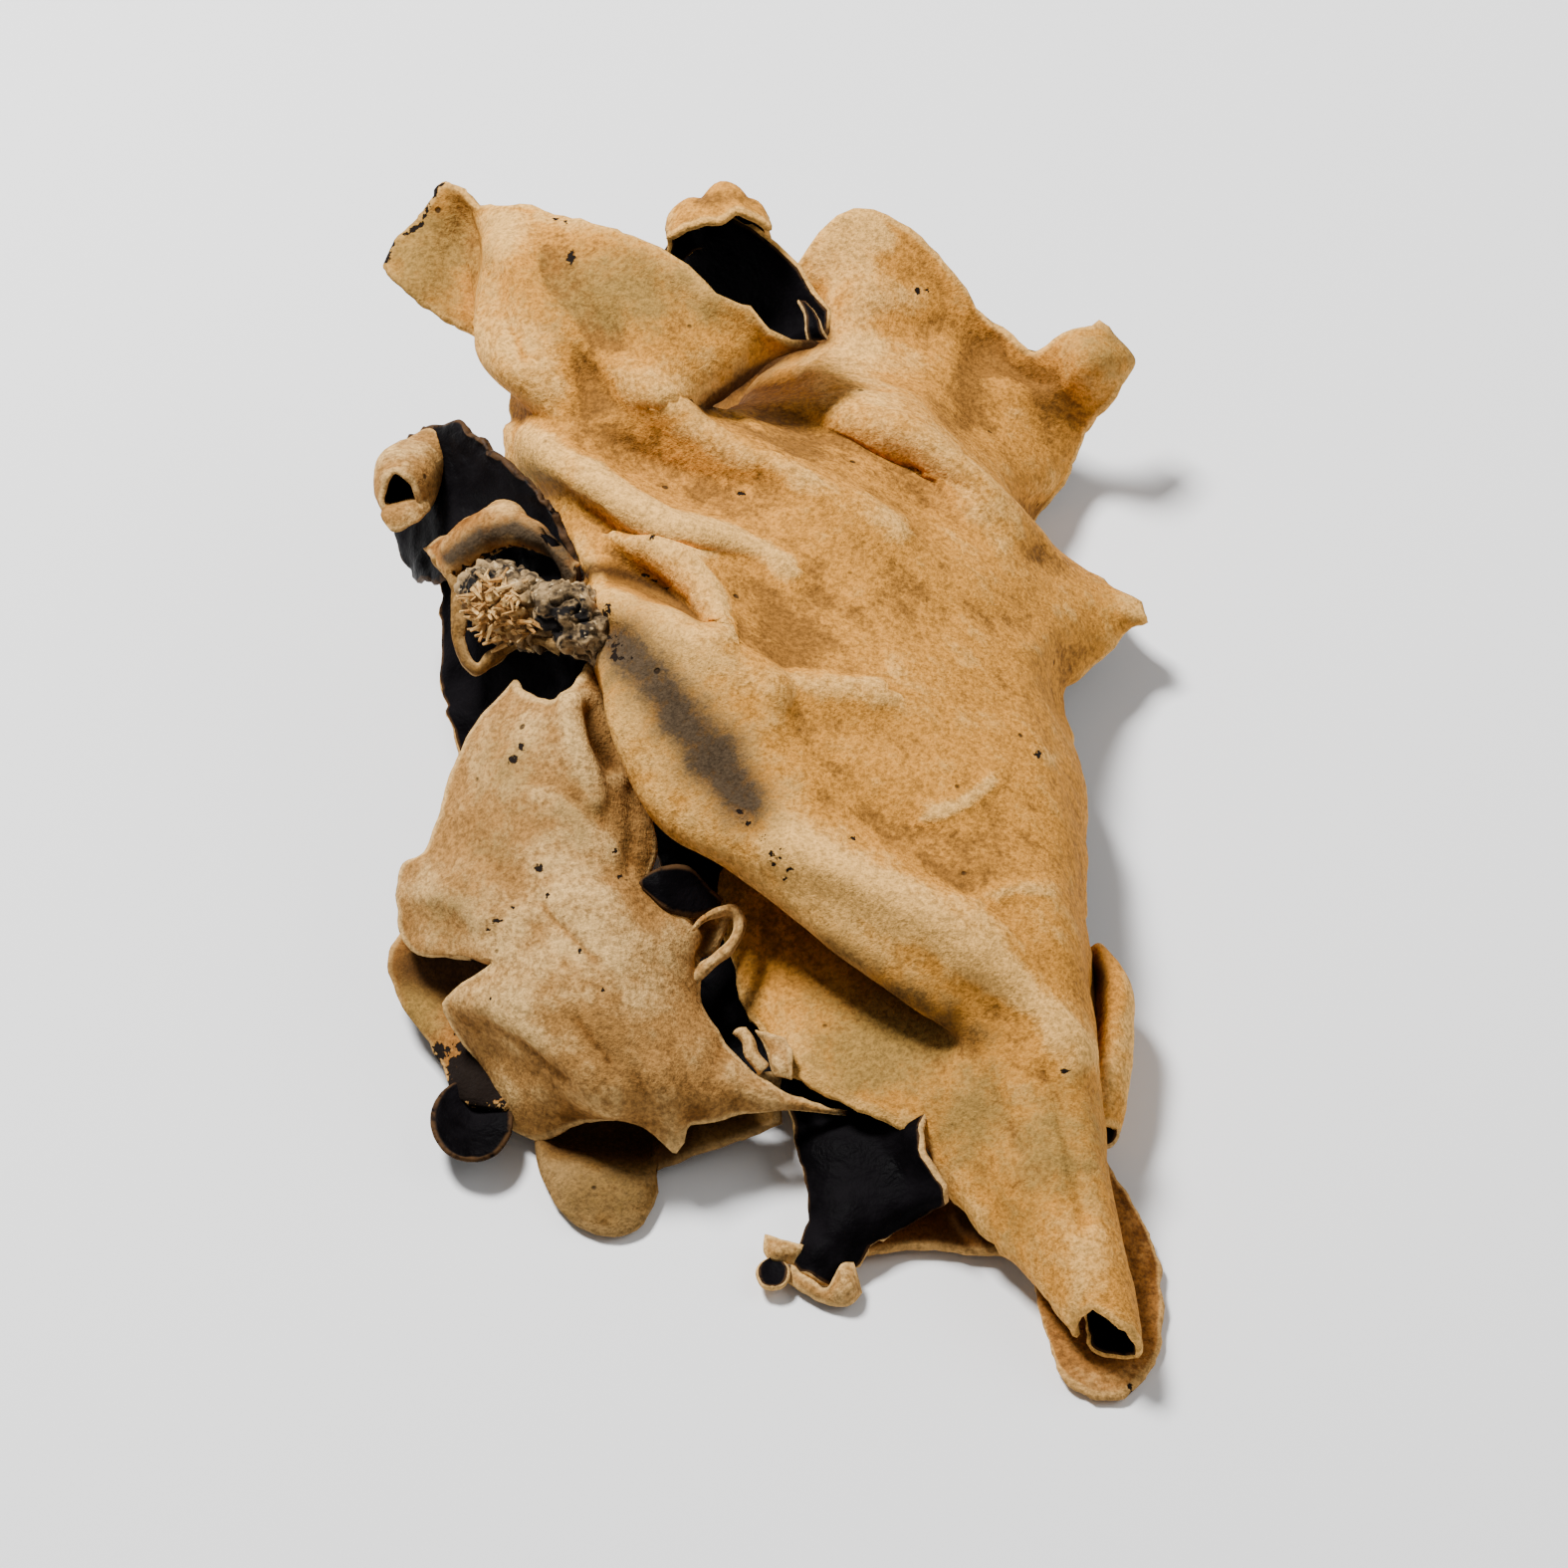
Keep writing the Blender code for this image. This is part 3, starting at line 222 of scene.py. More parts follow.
FINE_PLACES = 400
FEWEST_STEPS = 6
WALL = 1.5
RIM_WALL = 1.0
RIM_TAPER = 3.0
RIM_BULGE = 0.35
RIM_PALE = 1.1
RIM_KEPT = 1.6
FLOOR_GAP = 0.05
FLOOR_EASE = 0.8
FOLD_GAIN = 1.4
SEED_STEP = 17.3
RAG_REACH = 2.5
RAG_WIDE = 4.0
RAG_NARROW = 1.7

# Wrinkles by their size and height; they run down the growth, to the lower right
WRINKLES = ((9.0, 0.55), (4.0, 0.28), (1.8, 0.11))
WRINKLE_STRETCH = 2.2
WRINKLE_RUN = 0.6 * VIEW_RIGHT - 0.8 * VIEW_UP
WRINKLE_SIDE = 0.8 * VIEW_RIGHT + 0.6 * VIEW_UP

# Broad and narrow crests: the passes that even them out, their full height, their share
CRESTS = ((40, 0.55, 0.65), (8, 0.16, 0.35))


def spot(across, up, height):
    """The point at this height that the viewer sees at (across, up)."""
    seen = AIM + across * VIEW_RIGHT + up * VIEW_UP
    reach = (height - EYE[2]) / (seen[2] - EYE[2])
    return EYE + (seen - EYE) * reach


def seen_at(points):
    """Where the viewer sees each point: millimetres across and up the view."""
    ray = points - EYE
    reach = VIEW_DISTANCE / (ray @ -VIEW_BACK)
    seen = EYE + ray * reach[..., None] - AIM
    return np.stack([seen @ VIEW_RIGHT, seen @ VIEW_UP], axis=-1)


def smooth(places, points, wanted):
    """A smooth curve through the points at their places, read at the wanted places."""
    places = np.asarray(places, float)
    points = np.asarray(points, float)
    steps = np.diff(places)
    chords = np.diff(points, axis=0) / steps[:, None]
    slopes = np.empty_like(points)
    slopes[0] = chords[0]
    slopes[-1] = chords[-1]
    before = steps[:-1, None]
    after = steps[1:, None]
    slopes[1:-1] = (after * chords[:-1] + before * chords[1:]) / (before + after)
    span = np.clip(np.searchsorted(places, wanted, side="right") - 1, 0, len(steps) - 1)
    length = steps[span][:, None]
    t = (np.asarray(wanted) - places[span])[:, None] / length
    start = points[span] * (1 + 2 * t) * (1 - t) ** 2
    end = points[span + 1] * (3 - 2 * t) * t ** 2
    lead = slopes[span] * length * t * (1 - t) ** 2
    follow = slopes[span + 1] * length * (t - 1) * t ** 2
    return start + end + lead + follow


def row_curve(row, wanted):
    """One row of a sheet, read at the wanted places."""
    places = [entry[0] for entry in row]
    points = [spot(*entry[1:]) for entry in row]
    return smooth(places, points, wanted)


def skin(rows, spacing):
    """The middle surface of a sheet, as a grid of points through its rows."""
    fine = np.linspace(rows[0][0][0], rows[0][-1][0], FINE_PLACES)
    reach = np.zeros(FINE_PLACES - 1)
    for row in rows:
        reach += np.linalg.norm(np.diff(row_curve(row, fine), axis=0), axis=1) / len(rows)
    travelled = np.concatenate([[0.0], np.cumsum(reach)])
    count_across = max(FEWEST_STEPS, round(travelled[-1] / spacing))
    across_places = np.interp(np.linspace(0.0, travelled[-1], count_across), travelled, fine)
    curves = np.array([row_curve(row, across_places) for row in rows])
    apart = np.linalg.norm(np.diff(curves, axis=0), axis=2).mean(axis=1)
    along_places = np.concatenate([[0.0], np.cumsum(apart)])
    count_along = max(FEWEST_STEPS, round(along_places[-1] / spacing))
    wanted = np.linspace(0.0, along_places[-1], count_along)
    flat = curves.reshape(len(rows), -1)
    return smooth(along_places, flat, wanted).reshape(count_along, count_across, 3)


def facing(grid, closed=False):
    """The direction that each place of a grid faces, on its outer side."""
    if closed:
        side_step = np.roll(grid, -1, axis=1) - np.roll(grid, 1, axis=1)
    else:
        side_step = np.gradient(grid, axis=1)
    outward = np.cross(np.gradient(grid, axis=0), side_step)
    return outward / np.maximum(np.linalg.norm(outward, axis=2, keepdims=True), 1e-9)


def line_distance(seen, line):
    """How far each seen place is from a line of places, and whether it lies left of it."""
    nearest = np.full(seen.shape[:-1], np.inf)
    left = np.zeros(seen.shape[:-1], bool)
    for start, end in zip(np.array(line, float), np.array(line[1:], float)):
        run = end - start
        away = seen - start
        share = np.clip((away @ run) / (run @ run), 0.0, 1.0)
        apart = np.linalg.norm(away - share[..., None] * run, axis=-1)
        left = np.where(apart < nearest, run[0] * away[..., 1] - run[1] * away[..., 0] > 0.0, left)
        nearest = np.minimum(nearest, apart)
    return nearest, left


def folded(grid, folds, closed=False):
    """The grid with its folds raised, where it faces the viewer."""
    outward = facing(grid, closed)
    seen = seen_at(grid)
    towards = np.clip(outward @ VIEW_BACK, 0.0, 1.0)
    lift = np.zeros(grid.shape[:2])
    for line, right_width, left_width, height in folds:
        apart, left = line_distance(seen, line)
        lift += FOLD_GAIN * height * np.exp(-(apart / np.where(left, left_width, right_width)) ** 2)
    return grid + outward * (lift * np.sqrt(towards))[..., None]


def noise_at(points, size, seed):
    """Smooth random values from -1 to 1 at the points, with lumps of this size."""
    shifted = np.asarray(points).reshape(-1, 3) / size + seed * SEED_STEP
    values = [noise.noise(Vector(place)) for place in shifted.tolist()]
    return np.array(values).reshape(points.shape[:-1])


def travel(grid):
    """How far each place lies along its column and along its row, in millimetres."""
    down = np.linalg.norm(np.diff(grid, axis=0), axis=2)
    side = np.linalg.norm(np.diff(grid, axis=1), axis=2)
    along = np.concatenate([np.zeros((1, grid.shape[1])), np.cumsum(down, axis=0)])
    across = np.concatenate([np.zeros((grid.shape[0], 1)), np.cumsum(side, axis=1)], axis=1)
    return along, across


def rim_reach(grid, closed=False):
    """How far each place is from the nearest rim, in millimetres."""
    along, across = travel(grid)
    reach = np.minimum(along, along[-1:] - along)
    if not closed:
        reach = np.minimum(reach, np.minimum(across, across[:, -1:] - across))
    return reach


def wrinkled(grid, seed, height, closed=False):
    """The grid with fine dried wrinkles, longer down the growth than across it."""
    laid = grid @ np.stack([WRINKLE_RUN / WRINKLE_STRETCH, WRINKLE_SIDE, VIEW_BACK], axis=1)
    lift = np.zeros(grid.shape[:2])
    for order, (size, rise_by) in enumerate(WRINKLES):
        lift += rise_by * noise_at(laid, size, seed + order)
    return grid + facing(grid, closed) * (lift * height)[..., None]


def evened(grid, passes):
    """The grid with its creases evened out and its rims kept."""
    keep = np.exp(-rim_reach(grid) / RIM_KEPT)[..., None]
    return grid * keep + blurred(grid, passes) * (1.0 - keep)


def ragged(grid, seed, depth, closed=False):
    """The grid with its rims made uneven, as dried edges are."""
    pull = np.exp(-rim_reach(grid, closed) / RAG_REACH)[..., None]
    sway = [noise_at(grid, RAG_WIDE, seed + 5 + axis) + 0.5 * noise_at(grid, RAG_NARROW, seed + 9 + axis)
            for axis in range(3)]
    return grid + depth * pull * np.stack(sway, axis=-1)


def blurred(values, passes):
    """A grid of values evened out by repeated small steps."""
    padded = values.copy()
    for _ in range(passes):
        edge = np.pad(padded, [(1, 1), (1, 1)] + [(0, 0)] * (values.ndim - 2), mode="edge")
        padded = (edge[:-2, 1:-1] + edge[2:, 1:-1] + edge[1:-1, :-2] + edge[1:-1, 2:]
                  + 2.0 * edge[1:-1, 1:-1]) / 6.0
    return padded


def crest_of(grid, outward):
    """How much each place stands out of the sheet round it: 1 on crests, -1 in hollows."""
    crest = np.zeros(grid.shape[:2])
    for passes, full, share in CRESTS:
        stand_out = ((grid - blurred(grid, passes)) * outward).sum(axis=2)
        crest += share * (stand_out / full)
    return np.clip(crest, -1.0, 1.0)


def marked(seen, patches):
    """How strongly each seen place lies in the patches.

    A patch is (across, up, half width, half height, strength), or (line, half width,
    strength) where it follows a line.
    """
    mask = np.zeros(seen.shape[:-1])
    for patch in patches:
        if len(patch) == 3:
            line, half_width, strength = patch
            apart = line_distance(seen, line)[0] / half_width
        else:
            across, up, half_width, half_height, strength = patch
            apart = np.hypot((seen[..., 0] - across) / half_width, (seen[..., 1] - up) / half_height)
        mask = np.maximum(mask, strength * np.exp(-apart ** 2))
    return mask


def above_floor(grid):
    """The grid eased upwards where half its wall would reach below the floor."""
    lowest = 0.5 * WALL + FLOOR_GAP
    over = grid[..., 2] - lowest
    lifted = grid.copy()
    lifted[..., 2] = lowest + 0.5 * (over + np.sqrt(over ** 2 + FLOOR_EASE ** 2))
    return lifted


def rim_loops(along, across, closed):
    """The cells of a grid along its rims, in one loop for each rim."""
    first_row = list(range(across))
    last_row = list(range((along - 1) * across, along * across))
    if closed:
        return [first_row[::-1], last_row]
    right = [row * across + across - 1 for row in range(1, along)]
    left = [row * across for row in range(along - 2, 0, -1)]
    return [(first_row + right + last_row[-2::-1] + left)[::-1]]


def store(mesh, key, values):
    """Keep one value, or one place, for each point of the mesh."""
    values = np.asarray(values, np.float32)
    kind, field = ("FLOAT", "value") if values.ndim == 1 else ("FLOAT_VECTOR", "vector")
    mesh.attributes.new(key, kind, "POINT").data.foreach_set(field, values.ravel())


def finished_piece(name, mesh):
    """One finished piece of the mushroom in the scene, from its mesh."""
    piece = bpy.data.objects.new(name, mesh)
    bpy.context.scene.collection.objects.link(piece)
    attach(piece, "root")
    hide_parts("wood_ear")


def sheet_object(name, grid, materials, marks=None, closed=False, flip=False, rim_wall=RIM_WALL):
    """A closed thin piece round the grid: felt on one side, black skin on the other.

    A closed grid joins its last column to its first. A flipped sheet has its felt
    where the others have their black skin.
    """
    grid = above_floor(grid)
    along, across = grid.shape[:2]
    outward = facing(grid, closed)
    reach = rim_reach(grid, closed)
    share = np.clip(reach / RIM_TAPER, 0.0, 1.0)
    half = (0.5 * (rim_wall + (WALL - rim_wall) * share))[..., None]
    edge_out = grid - blurred(grid, 1)
    edge_out -= outward * (edge_out * outward).sum(axis=2, keepdims=True)
    edge_out /= np.maximum(np.linalg.norm(edge_out, axis=2, keepdims=True), 1e-6)
    bulge = (grid + edge_out * RIM_BULGE * rim_wall).reshape(-1, 3)
    loops = rim_loops(along, across, closed)
    places = np.vstack([(grid + outward * half).reshape(-1, 3), (grid - outward * half).reshape(-1, 3)]
                       + [bulge[cells] for cells in loops])

    row, column = np.meshgrid(np.arange(along - 1), np.arange(across if closed else across - 1),
                              indexing="ij")
    a = (row * across + column).ravel()
    b = ((row + 1) * across + column).ravel()
    c = ((row + 1) * across + (column + 1) % across).ravel()
    d = (row * across + (column + 1) % across).ravel()
    total = along * across
    faces = np.vstack([np.stack([a, b, c, d], axis=1), np.stack([a, d, c, b], axis=1) + total]).tolist()
    felt, black = (1, 0) if flip else (0, 1)
    sides = [felt] * len(a) + [black] * len(a)
    first = 2 * total
    for cells in loops:
        count = len(cells)
        for here in range(count):
            there = (here + 1) % count
            faces.append([cells[here], first + here, first + there, cells[there]])
            faces.append([first + here, cells[here] + total, cells[there] + total, first + there])
            sides += [0, 0]
        first += count

    mesh = bpy.data.meshes.new(name)
    mesh.from_pydata((places - CLUMP_MIDDLE) * MM, [], faces)
    for material in materials:
        mesh.materials.append(material)
    mesh.polygons.foreach_set("material_index", sides)
    mesh.shade_smooth()

    seen = seen_at(grid)
    # Crests and hollows, which the felt paints lighter and darker: painted highlight and painted shade
    crest = crest_of(grid, outward)
    values = {"crest": (crest, -crest), "rim": (np.exp(-reach / RIM_PALE),) * 2}
    for key, patches in (marks or {}).items():
        values[key] = (marked(seen, patches),) * 2
    for key, (outer, inner) in values.items():
        edges = [np.ones(len(cells)) if key == "rim" else outer.ravel()[cells] for cells in loops]
        store(mesh, key, np.concatenate([outer.ravel(), inner.ravel()] + edges))
    flat = np.concatenate([seen, np.zeros(seen.shape[:2] + (1,))], axis=-1).reshape(-1, 3)
    store(mesh, "seen", np.vstack([flat, flat] + [flat[cells] for cells in loops]))
    finished_piece(name, mesh)


def dried_sheet(name, rows, materials, spacing, seed, rag, wrinkle=0.0, folds=(), even=0, **kept):
    """A piece through the rows, with ragged rims, folds and dried wrinkles where asked for."""
    grid = skin(rows, spacing)
    if even:
        grid = evened(grid, even)
    if folds:
        grid = folded(grid, folds)
    grid = ragged(grid, seed, rag)
    if wrinkle:
        grid = wrinkled(grid, seed + 1, wrinkle)
    sheet_object(name, grid, materials, **kept)


class Maker:
    """Short calls that add linked nodes to one node tree."""

    def __init__(self, tree):
        self.tree = tree

    def feed(self, node, inputs):
        """Link or set the inputs of a node."""
        for key, value in inputs.items():
            if isinstance(value, bpy.types.NodeSocket):
                self.tree.links.new(value, node.inputs[key])
            else:
                node.inputs[key].default_value = value

    def node(self, kind, inputs=None, **settings):
        made = self.tree.nodes.new(kind)
        for key, value in settings.items():
            setattr(made, key, value)
        self.feed(made, inputs or {})
        return made

    def math(self, operation, first, second=0.0, third=0.0, clamp=False):
        made = self.node("ShaderNodeMath", {0: first, 1: second, 2: third}, operation=operation,
                         use_clamp=clamp)
        return made.outputs[0]

    def vector(self, operation, first, second=(0, 0, 0), third=(0, 0, 0), result="Vector"):
        made = self.node("ShaderNodeVectorMath", {0: first, 1: second, 2: third}, operation=operation)
        return made.outputs[result]

    def swayed(self, total, texture, gain):
        """The total, moved by how far a texture is from its middle."""
        return self.math("MULTIPLY_ADD", self.math("SUBTRACT", texture, 0.5), gain, total)

    def blend(self, share, low, high, mode="MIX"):
        made = self.node("ShaderNodeMix", data_type="RGBA", blend_type=mode)
        self.feed(made, {0: share, 6: low, 7: high})
        return made.outputs[2]

    def attribute(self, key):
        return self.node("ShaderNodeAttribute", attribute_name=key).outputs["Fac"]

    def grain(self, coords, per_metre, detail=2.0, rough=0.5, kind="Fac"):
        made = self.node("ShaderNodeTexNoise", {"Vector": coords, "Scale": per_metre, "Detail": detail,
                                               "Roughness": rough})
        return made.outputs[kind]

    def ramp(self, value, low, high):
        """0 below low and 1 above high, smooth between."""
        made = self.node("ShaderNodeMapRange", {"Value": value, "From Min": low, "From Max": high},
                         interpolation_type="SMOOTHSTEP")
        return made.outputs["Result"]


SOCKET_KINDS = {1: "NodeSocketFloat", 3: "NodeSocketVector", 4: "NodeSocketColor"}
FINISH_OUTPUTS = {"Colour": (0, 0, 0, 1), "Height": 0.0, "Roughness": 0.0}
SPECK_EDGE = (0.75, 1.15)
SPECK_GRAIN = (1.6, 2.0, 0.6)
SPECK_SWAY = 1.2
SPECK_TIGHT = 1.3


def new_group(name, inputs, outputs):
    """A shader node group with its maker, its given inputs and its output node.

    The value of a socket shows its kind: a number, a place or a colour.
    """
    group = bpy.data.node_groups.new(name, "ShaderNodeTree")
    for way, sockets in (("INPUT", inputs), ("OUTPUT", outputs)):
        for label, value in sockets.items():
            kind = SOCKET_KINDS[np.size(value)]
            group.interface.new_socket(label, in_out=way, socket_type=kind).default_value = value
    maker = Maker(group)
    return group, maker, maker.node("NodeGroupInput").outputs, maker.node("NodeGroupOutput")


# One small dark mark at a seen place: a hole, pit or speck with an uneven outline
speck_group, make, given, result = new_group(
    "speck", {"Seen": (0, 0, 0), "Middle": (0, 0, 0), "Spread": (1, 1, 1)}, {"Mask": 0.0})
away = make.vector("MULTIPLY", make.vector("SUBTRACT", given["Seen"], given["Middle"]), given["Spread"])
apart = make.vector("LENGTH", away, result="Value")
make.feed(result, {"Mask": make.math("SUBTRACT", 1.0, make.ramp(apart, *SPECK_EDGE))})

# Felt of short dried hairs: golden with a painted highlight on crests and pale at rims, brown
# with painted shade in hollows, with a salt-and-pepper grain, smoky, khaki and painted-shade
# patches, black patches that are partly painted shadow, and small black pits. A grain is its
# lumps to the metre, its detail and its roughness.
BLOTCH_GRAIN = (75.0, 3.0)
MOTTLE_GRAIN = (330.0, 4.0, 0.62)
HAIR_GRAIN = (2600.0, 2.0, 0.7)
FLECK_GRAIN = (1350.0, 3.0, 0.62)
RARE_GRAIN = (140.0, 1.0)
BLACK_PATCH_GRAIN = (700.0, 3.0, 0.6)
PITS_PER_METRE = 260.0
PIT_COLOUR = (0.010, 0.006, 0.004, 1)
PATCH_LOOSENESS = {"Khaki": 1.3, "Shade": 0.9, "Smoke": 0.5}
felt_group, make, given, result = new_group(
    "dried felt",
    {"Deep": (0.22, 0.092, 0.016, 1), "Middle": (0.50, 0.212, 0.030, 1), "Pale": (0.68, 0.370, 0.098, 1),
     "Smoke": (0.060, 0.039, 0.021, 1), "Khaki": (0.27, 0.152, 0.036, 1), "Shade": (0.055, 0.022, 0.005, 1),
     "Shift": 0.0, "Specks": 0.0}, FINISH_OUTPUTS)
place = make.node("ShaderNodeTexCoord").outputs["Object"]
mottle = make.grain(place, *MOTTLE_GRAIN)
hairs = make.grain(place, *HAIR_GRAIN)
fleck = make.grain(place, *FLECK_GRAIN)
# Crests are painted lighter and hollows darker: painted highlight and painted shade
tone = make.math("MULTIPLY_ADD", make.attribute("crest"), 0.36, 0.5)
tone = make.math("ADD", tone, given["Shift"])
for texture, gain in ((make.grain(place, *BLOTCH_GRAIN), 0.9), (mottle, 1.0), (fleck, 0.35)):
    tone = make.swayed(tone, texture, gain)
# Warm marks darken and pale marks lighten the tone; some warm marks are painted shade and some pale marks
# painted highlights
for key, gain in (("warm", -0.55), ("pale", 0.45)):
    tone = make.math("MULTIPLY_ADD", make.attribute(key), gain, tone)
pale_rim = make.math("MULTIPLY", make.ramp(make.attribute("rim"), 0.35, 0.8), 0.8)
pale_part = make.math("MAXIMUM", make.ramp(tone, 0.5, 1.1), pale_rim)
colour = make.blend(make.ramp(tone, 0.0, 0.5), given["Deep"], given["Middle"])
colour = make.blend(pale_part, colour, given["Pale"])
for label, loose in PATCH_LOOSENESS.items():
    part = make.swayed(make.attribute(label.lower()), mottle, loose)
    part = make.swayed(part, fleck, 0.8)
    colour = make.blend(make.ramp(part, 0.1, 1.0), colour, given[label])
salt = make.ramp(make.math("MULTIPLY_ADD", fleck, 0.6, make.math("MULTIPLY", hairs, 0.4)), 0.33, 0.67)
shade = make.math("MULTIPLY_ADD", salt, 0.76, 0.60)
shade_colour = make.node("ShaderNodeCombineColor", {"Red": shade, "Green": shade, "Blue": shade}).outputs[0]
colour = make.blend(1.0, colour, shade_colour, "MULTIPLY")
cells = make.node("ShaderNodeTexVoronoi", {"Vector": place, "Scale": PITS_PER_METRE}, feature="F1")
rare = make.ramp(make.grain(place, *RARE_GRAIN), 0.62, 0.66)
near = make.math("SUBTRACT", 1.0, make.ramp(cells.outputs["Distance"], 0.07, 0.14))
pit = make.math("MULTIPLY", near, rare)
# Black patches with uneven edges, partly painted shadow
black_patch = make.math("MULTIPLY_ADD", make.math("SUBTRACT", make.attribute("black_and_shadow"), 1.0), 0.35,
                   make.grain(place, *BLACK_PATCH_GRAIN))
black_patch_or_speck = make.math("MAXIMUM", make.ramp(black_patch, 0.46, 0.52), given["Specks"])
dark_part = make.math("MAXIMUM", make.math("MULTIPLY", pit, 0.85), black_patch_or_speck, clamp=True)
height = make.math("MULTIPLY_ADD", mottle, 0.9, make.math("MULTIPLY", hairs, 0.5))
height = make.math("MULTIPLY_ADD", fleck, 0.45, height)
make.feed(result, {"Colour": make.blend(dark_part, colour, PIT_COLOUR),
                   "Height": make.math("MULTIPLY_ADD", dark_part, -1.2, height),
                   "Roughness": make.math("MULTIPLY_ADD", salt, 0.12, 0.80)})

# Black inner skin: satin, faintly purple, with broad lighter patches painted in as sheen, drawn into fine
# wrinkles, brown along its rim
BROAD_GRAIN = (160.0, 3.0)
CRINKLE_GRAIN = (620.0, 4.0, 0.6)
DUST_GRAIN = (1900.0, 2.0)
SKIN_DARK = (0.0018, 0.0015, 0.0018, 1)
SKIN_SHEEN = (0.0050, 0.0042, 0.0050, 1)
SKIN_RIM = (0.12, 0.060, 0.024, 1)
skin_group, make, given, result = new_group("black skin", {"Tint": SKIN_DARK}, FINISH_OUTPUTS)
place = make.node("ShaderNodeTexCoord").outputs["Object"]
broad = make.grain(place, *BROAD_GRAIN)
crinkle = make.grain(place, *CRINKLE_GRAIN)
dust = make.math("MULTIPLY", make.grain(place, *DUST_GRAIN), 0.12)
# broad lighter patches: painted sheen
colour = make.blend(make.ramp(broad, 0.35, 0.7), given["Tint"], SKIN_SHEEN)
edge_part = make.math("MULTIPLY", make.ramp(make.attribute("rim"), 0.65, 0.95), make.ramp(crinkle, 0.3, 0.55))
make.feed(result, {"Colour": make.blend(make.math("MULTIPLY", edge_part, 0.5), colour, SKIN_RIM),
                   "Height": make.math("ADD", crinkle, dust),
                   "Roughness": make.math("MULTIPLY_ADD", make.ramp(broad, 0.3, 0.7), 0.20, 0.42)})


def new_material(name):
    """A new material, with the maker of its nodes and its shader."""
    material = bpy.data.materials.new(name)
    material.use_nodes = True
    return material, Maker(material.node_tree), material.node_tree.nodes["Principled BSDF"]


def finish_from_group(maker, shader, group, bump_strength, bump_depth, gloss):
    """Let a group's colour, roughness and height decide the shader's finish."""
    bump = maker.node("ShaderNodeBump", {"Height": group.outputs["Height"], "Strength": bump_strength,
                                         "Distance": bump_depth})
    maker.feed(shader, {"Base Color": group.outputs["Colour"], "Roughness": group.outputs["Roughness"],
                        "Normal": bump.outputs["Normal"], "Specular IOR Level": gloss})


def felt_material(name, shift=0.0, specks=(), **colours):
    """Felt of one palette, from the shared felt group.

    A speck is (across, up, half width, half height), as seen.
    """
    material, maker, shader = new_material(name)
    felt = maker.node("ShaderNodeGroup", node_tree=felt_group)
    maker.feed(felt, {"Shift": shift, **{label: (*colour, 1) for label, colour in colours.items()}})
    if specks:
        seen = maker.node("ShaderNodeAttribute", attribute_name="seen").outputs["Vector"]
        sway = maker.vector("SUBTRACT", maker.grain(seen, *SPECK_GRAIN, kind="Color"), (0.5, 0.5, 0.5))
        seen = maker.vector("MULTIPLY_ADD", sway, (SPECK_SWAY, SPECK_SWAY, 0), seen)
        total = 0.0
        for across, up, half_width, half_height in specks:
            speck = maker.node("ShaderNodeGroup", node_tree=speck_group)
            spread = (SPECK_TIGHT / half_width, SPECK_TIGHT / half_height, 0)
            maker.feed(speck, {"Seen": seen, "Middle": (across, up, 0), "Spread": spread})
            total = maker.math("MAXIMUM", speck.outputs["Mask"], total)
        maker.feed(felt, {"Specks": total})
    finish_from_group(maker, shader, felt, bump_strength=0.7, bump_depth=0.0004, gloss=0.08)
    return material


def skin_material(name, gloss):
    """The satin black inner skin, from the shared skin group."""
    material, maker, shader = new_material(name)
    black = maker.node("ShaderNodeGroup", node_tree=skin_group)
    finish_from_group(maker, shader, black, bump_strength=0.6, bump_depth=0.0005, gloss=gloss)
    return material


MAIN_SPECKS = [
    (-26.6, 66, 0.55, 1.5), (-28.6, 70.9, 0.7, 0.35), (-27.4, 70.5, 0.4, 0.3), (16.5, 62, 0.45, 0.5),
    (17.8, 62.1, 0.4, 0.4), (35.4, -36.4, 0.7, 0.5), (-17.8, 31.3, 0.5, 0.6), (-16.5, 30.9, 0.4, 0.7),
    (-17.2, 26.6, 0.7, 0.5), (-15.8, 25.8, 0.6, 0.4), (-14.3, 24.8, 0.5, 0.3), (-5.3, 36.3, 0.7, 0.4),
    (-5.4, -3.8, 0.7, 0.4), (-4.3, -5.1, 0.5, 0.4), (-1, -9.7, 0.4, 0.5), (1, -10.5, 0.6, 0.3),
    (0.6, -11.6, 0.3, 0.4), (8.5, -7.5, 0.4, 0.4), (31.6, 3.2, 0.4, 0.7), (41.8, -73.5, 0.9, 0.35)]
warm_felt = felt_material("warm felt", specks=MAIN_SPECKS)
black_skin = skin_material("black inner skin", 0.012)
satin_skin = skin_material("satin black skin", 0.05)
